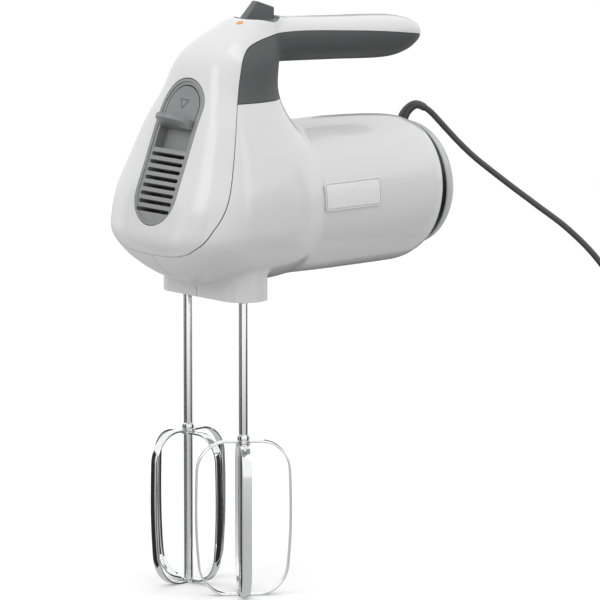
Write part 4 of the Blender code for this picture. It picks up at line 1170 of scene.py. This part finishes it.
def turned(name, profile, place, centre, axis, steps=96):
    """A profile of (radius, height) spun right round an axis."""
    made = shaped_circle(name, [place(radius, height) for radius, height in profile])
    start_edit(made, "EDGE")
    bpy.ops.mesh.select_all(action="SELECT")
    bpy.ops.mesh.spin(steps=steps, angle=2 * math.pi, center=centre, axis=axis)
    bpy.ops.mesh.select_all(action="SELECT")
    bpy.ops.mesh.remove_doubles(threshold=0.00001)
    bpy.ops.mesh.select_all(action="SELECT")
    bpy.ops.mesh.normals_make_consistent(inside=False)
    end_edit()
    return made


def turned_upright(name, profile, foot, steps=96):
    return turned(name, profile, lambda r, h: foot + Vector((r, 0.0, h)), foot, (0.0, 0.0, 1.0), steps)


FIN_TOP = 0.3168
FIN_THICKNESS = 0.0056
rise = FIN_TOP - SELECTOR.z
disc_profile = (
    (0.0, -0.0058),
    (0.0030, -0.0058),
    (0.0030, 0.0),
    (SELECTOR_RADIUS - 0.0003, 0.0),
    (SELECTOR_RADIUS, 0.0003),
    (SELECTOR_RADIUS, 0.0008),
    (SELECTOR_RADIUS - 0.0003, 0.0013),
    (SELECTOR_RADIUS - 0.0010, 0.0016),
    (0.0, 0.0016),
)
selector = turned_upright("speed_selector_knob", disc_profile, SELECTOR)
fin_side = ((-0.0118, 0.0010), (0.0100, 0.0010), (0.0108, rise - 0.0042), (-0.0014, rise))
fin = slab("selector_fin", fin_side, (0.0, FIN_THICKNESS, 0.0), lambda a, c: SELECTOR + Vector((a, 0.0, c)))
start_edit(fin, "VERT")
pick(fin, "VERT", lambda place, vertex: place.z > SELECTOR.z + 0.003)
bpy.ops.transform.resize(value=(1.0, 0.74, 1.0), center_override=SELECTOR)
end_edit()
shape_with(fin, "BEVEL", width=0.0006, segments=3, limit_method="ANGLE", angle_limit=math.radians(30))
cut(selector, fin, "UNION")
even_shine(selector, 35)
dress(selector, "selector", lever_grey, "lever_grey", "speed_selector")

mark_axis = Euler(MARK_TILT).to_matrix()
mark_profile = ((0.0, -0.0009), (MARK_RADIUS, -0.0009), (MARK_RADIUS, 0.0001), (0.00115, 0.0003), (0.0, 0.0004))
mark = turned(
    "orange_selector_mark",
    mark_profile,
    lambda r, h: MARK + mark_axis @ Vector((r, 0.0, h)),
    MARK,
    mark_axis @ Vector((0.0, 0.0, 1.0)),
    48,
)
smooth(mark, 40)
dress(mark, "mixer_body", orange_mark, "orange_mark", "selector_mark")

# %% [markdown]
# ## The badge plate
# A small plate is set on the round of the motor barrel, blank here. It is a piece of the same curved
# skin stood proud by a millimetre, crossed with a rectangle with round corners, and a fine line is
# engraved just inside its edge.

# %% Badge plate
BADGE_CENTRE = (0.0620, 0.2136)
BADGE_SIZE = (0.0400, 0.0152)
BADGE_CORNER = 0.0022
BADGE_PROUD = 0.0010
LINE_INSET = 0.0007
LINE_WIDTH = 0.0005
LINE_DEPTH = 0.0005


def badge_block(name, inset):
    """The badge's outline drawn in by an inset, as a block through the near side of the barrel."""
    width, height = (size - 2 * inset for size in BADGE_SIZE)
    outline = rounded_rectangle(width, height, BADGE_CORNER - inset)
    middle_x, middle_z = BADGE_CENTRE
    return slab(name, outline, (0.0, 0.03, 0.0), lambda a, b: at(middle_x + a, -0.0425, middle_z + b))


badge = badge_block("blank_badge_plate", 0.0)
cut(badge, drawn_in(-BADGE_PROUD), "INTERSECT")
cut(badge, drawn_in(-0.0001))
fine_line = badge_block("fine_line", LINE_INSET)
cut(fine_line, badge_block("fine_line_middle", LINE_INSET + LINE_WIDTH))
cut(fine_line, drawn_in(LINE_DEPTH - BADGE_PROUD))
cut(badge, fine_line)
even_shine(badge, 25)
dress(badge, "mixer_body", badge_plate, "badge_plate", "side_badge")
bpy.data.objects.remove(skin, do_unlink=True)

# %% [markdown]
# ## The rear ring and the heel cap
# Behind the barrel is a black ring, then a pale cap with a well-rounded edge. The mixer stands on that
# cap between uses. Both are turned, and both are notched at the top, where the cord comes out.

# %% Ring and heel
REAR_CENTRE = at(0.0, 0.0, 0.2085)
HEEL_RADIUS = 0.0343
HEEL_START = 0.1368
HEEL_END = 0.1465
HEEL_ROUNDING = 0.0097
RING_RADIUS = 0.0336
RING_START = 0.1215


def turned_rear(name, profile):
    """A profile of (radius, distance) spun round the motor's axis."""
    return turned(
        name, profile, lambda r, x: REAR_CENTRE + Vector((x, 0.0, r)), REAR_CENTRE, (1.0, 0.0, 0.0), 128
    )


def notched(piece):
    return cut(piece, rod_tool("relief_notch", at(RELIEF_X, 0.0, 0.2435), 0.0042, 0.023))


ring_end = HEEL_START - 0.0003
ring_profile = ((0.0285, RING_START), (RING_RADIUS, RING_START), (RING_RADIUS, ring_end), (0.0285, ring_end))
rear_ring = notched(turned_rear("black_rear_ring", ring_profile))
dress(smooth(rear_ring, 30), "mixer_body", black_plastic, "black_ring", "rear_ring")
heel_profile = [(HEEL_RADIUS - 0.0004, HEEL_START), (HEEL_RADIUS, HEEL_START + 0.0004)]
for step in range(1, 17):
    angle = math.pi / 2 * step / 16
    heel_profile.append((
        HEEL_RADIUS - HEEL_ROUNDING * (1 - math.cos(angle)),
        HEEL_END - HEEL_ROUNDING * (1 - math.sin(angle)),
    ))
heel_profile += [(0.0, HEEL_END), (0.0, HEEL_END - WALL), (HEEL_RADIUS - HEEL_ROUNDING, HEEL_END - WALL)]
heel_profile += [(HEEL_RADIUS - WALL, HEEL_START + 0.0012), (HEEL_RADIUS - WALL, HEEL_START)]
heel_cap = notched(turned_rear("heel_cap_shell", heel_profile))
dress(smooth(heel_cap, 30), "mixer_body", heel_grey, "heel_grey", "heel_cap")

# %% [markdown]
# ## The beaters
# Each beater is a polished rod with two flat strips bent into loops and riveted on crosswise. A strip
# is the difference of two rounded outlines extruded to its width, with its edges eased. A round
# eyelet at the top and bottom of each loop takes the rod. The two beaters stand at different turns,
# as they were pushed in.

# %% Rods and loops
SHAFT_RADIUS = 0.0025
SHAFT_TOP = 0.2050
LOOP_WIDTH = 0.0520
LOOP_HEIGHT = 0.0845
LOOP_CORNER = 0.0160
STRIP_WIDTH = 0.0049
STRIP_THICKNESS = 0.0011
EYELET_RADIUS = 0.0038
INNER_INSET = 0.0014
FOOT_TAPER = 0.14
HEAD_TAPER = 0.05
COLLAR_FOOT = 0.0849
LEFT_TURN = math.radians(-35.5)
RIGHT_TURN = math.radians(4.0)


def bellied(x, z):
    """Draws a loop in towards its foot, and a little at its head."""
    share = 0.5 + z / LOOP_HEIGHT
    narrowing = FOOT_TAPER * max(0.0, 1 - share / 0.55) ** 2 + HEAD_TAPER * max(0.0, share / 0.45 - 1.2) ** 2
    return x * (1 - narrowing), z


def loop_block(name, foot, turn, inset, width):
    """A loop's outline drawn in by an inset, as a block of a given width."""
    across = Vector((math.cos(turn), math.sin(turn), 0.0))
    through = Vector((-math.sin(turn), math.cos(turn), 0.0))
    outline = rounded_rectangle(LOOP_WIDTH - 2 * inset, LOOP_HEIGHT - 2 * inset, LOOP_CORNER - inset, 24)
    side = len(outline) // 4
    full = []
    for i, (first, second) in enumerate(zip(outline, outline[1:] + outline[:1])):
        full.append(first)
        if i == side - 1 + 25 or i == len(outline) - 1:
            full += [
                (first[0] + (second[0] - first[0]) * k / 16, first[1] + (second[1] - first[1]) * k / 16)
                for k in range(1, 16)
            ]
    outline = [bellied(x, z) for x, z in full]
    return slab(
        name, outline, through * width, lambda a, b: foot + across * a + Vector((0.0, 0.0, LOOP_HEIGHT / 2 + b))
    )


def strip_loop(name, foot, turn, inset):
    made = loop_block(name, foot, turn, inset, STRIP_WIDTH)
    cut(made, loop_block(name + "_inside", foot, turn, inset + STRIP_THICKNESS, 2 * STRIP_WIDTH))
    shape_with(made, "BEVEL", width=0.00022, segments=2, limit_method="ANGLE", angle_limit=math.radians(50))
    for low in (inset, LOOP_HEIGHT - inset - STRIP_THICKNESS):
        high = low + STRIP_THICKNESS
        profile = ((0.0, low), (EYELET_RADIUS, low), (EYELET_RADIUS, high), (0.0, high))
        cut(made, turned_upright(name + "_eyelet", profile, foot, 48), "UNION")
    hole = ((0.0, -0.01), (SHAFT_RADIUS + 0.0001, -0.01), (SHAFT_RADIUS + 0.0001, 0.1), (0.0, 0.1))
    return smooth(cut(made, turned_upright(name + "_hole", hole, foot, 48)), 30)


rod_profile = (
    (0.0, 0.0),
    (SHAFT_RADIUS - 0.0006, 0.0),
    (SHAFT_RADIUS, 0.0006),
    (SHAFT_RADIUS, COLLAR_FOOT),
    (SHAFT_RADIUS + 0.0009, COLLAR_FOOT),
    (SHAFT_RADIUS + 0.0010, COLLAR_FOOT + 0.0010),
    (SHAFT_RADIUS + 0.0006, COLLAR_FOOT + 0.0024),
    (SHAFT_RADIUS, COLLAR_FOOT + 0.0028),
    (SHAFT_RADIUS, SHAFT_TOP - 0.0100),
    (SHAFT_RADIUS - 0.0006, SHAFT_TOP - 0.0090),
    (SHAFT_RADIUS - 0.0006, SHAFT_TOP - 0.0070),
    (SHAFT_RADIUS, SHAFT_TOP - 0.0060),
    (SHAFT_RADIUS, SHAFT_TOP - 0.0010),
    (SHAFT_RADIUS - 0.0010, SHAFT_TOP),
    (0.0, SHAFT_TOP),
)
for side_name, side, turn in (("left", -1, LEFT_TURN), ("right", 1, RIGHT_TURN)):
    foot = at(0.0, side * AXIS_Y, 0.0)
    rod = smooth(turned_upright(f"{side_name}_beater_rod", rod_profile, foot, 48), 35)
    dress(rod, f"{side_name}_beater", chrome, "beater_chrome", f"{side_name}_beater_shaft")
    for loop_name, extra, inset in (("outer", 0.0, 0.0), ("inner", math.pi / 2, INNER_INSET)):
        loop = strip_loop(f"{side_name}_{loop_name}_strip", foot, turn + extra, inset)
        dress(loop, f"{side_name}_beater", chrome, "beater_chrome", f"{side_name}_{loop_name}_loop")

# %% [markdown]
# ## The works inside
# Motor, gears, brushes and switch keep their engineering shapes, which are right already. They only
# need the metals and plastics that they are really made of: stacked steel plates for the cores, wound
# copper for the coils, brass, carbon, tan gear plastic and a green board.

# %% Finishes for the inner parts
INNER_FINISHES = (
    (steel, ("housing_screw_1", "housing_screw_2", "housing_screw_3", "motor_shaft", "return_spring")),
    (steel, ("left_plug_pin", "right_plug_pin")),
    (laminations, ("field_core", "armature_core")),
    (copper, ("upper_field_coil", "lower_field_coil", "front_winding_head", "rear_winding_head")),
    (brass, ("commutator", "front_bearing", "rear_bearing", "left_brush_holder", "right_brush_holder")),
    (carbon, ("left_carbon_brush", "right_carbon_brush")),
    (gear_plastic, ("gearbox_frame", "left_drive_gear", "right_drive_gear", "ejector_yoke")),
    (black_plastic, ("cooling_fan", "speed_switch")),
    (board_green, ("control_board",)),
)
for look, names in INNER_FINISHES:
    for name in names:
        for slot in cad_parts[name].material_slots:
            slot.material = look
print("finished", sum(len(names) for _, names in INNER_FINISHES), "inner parts")
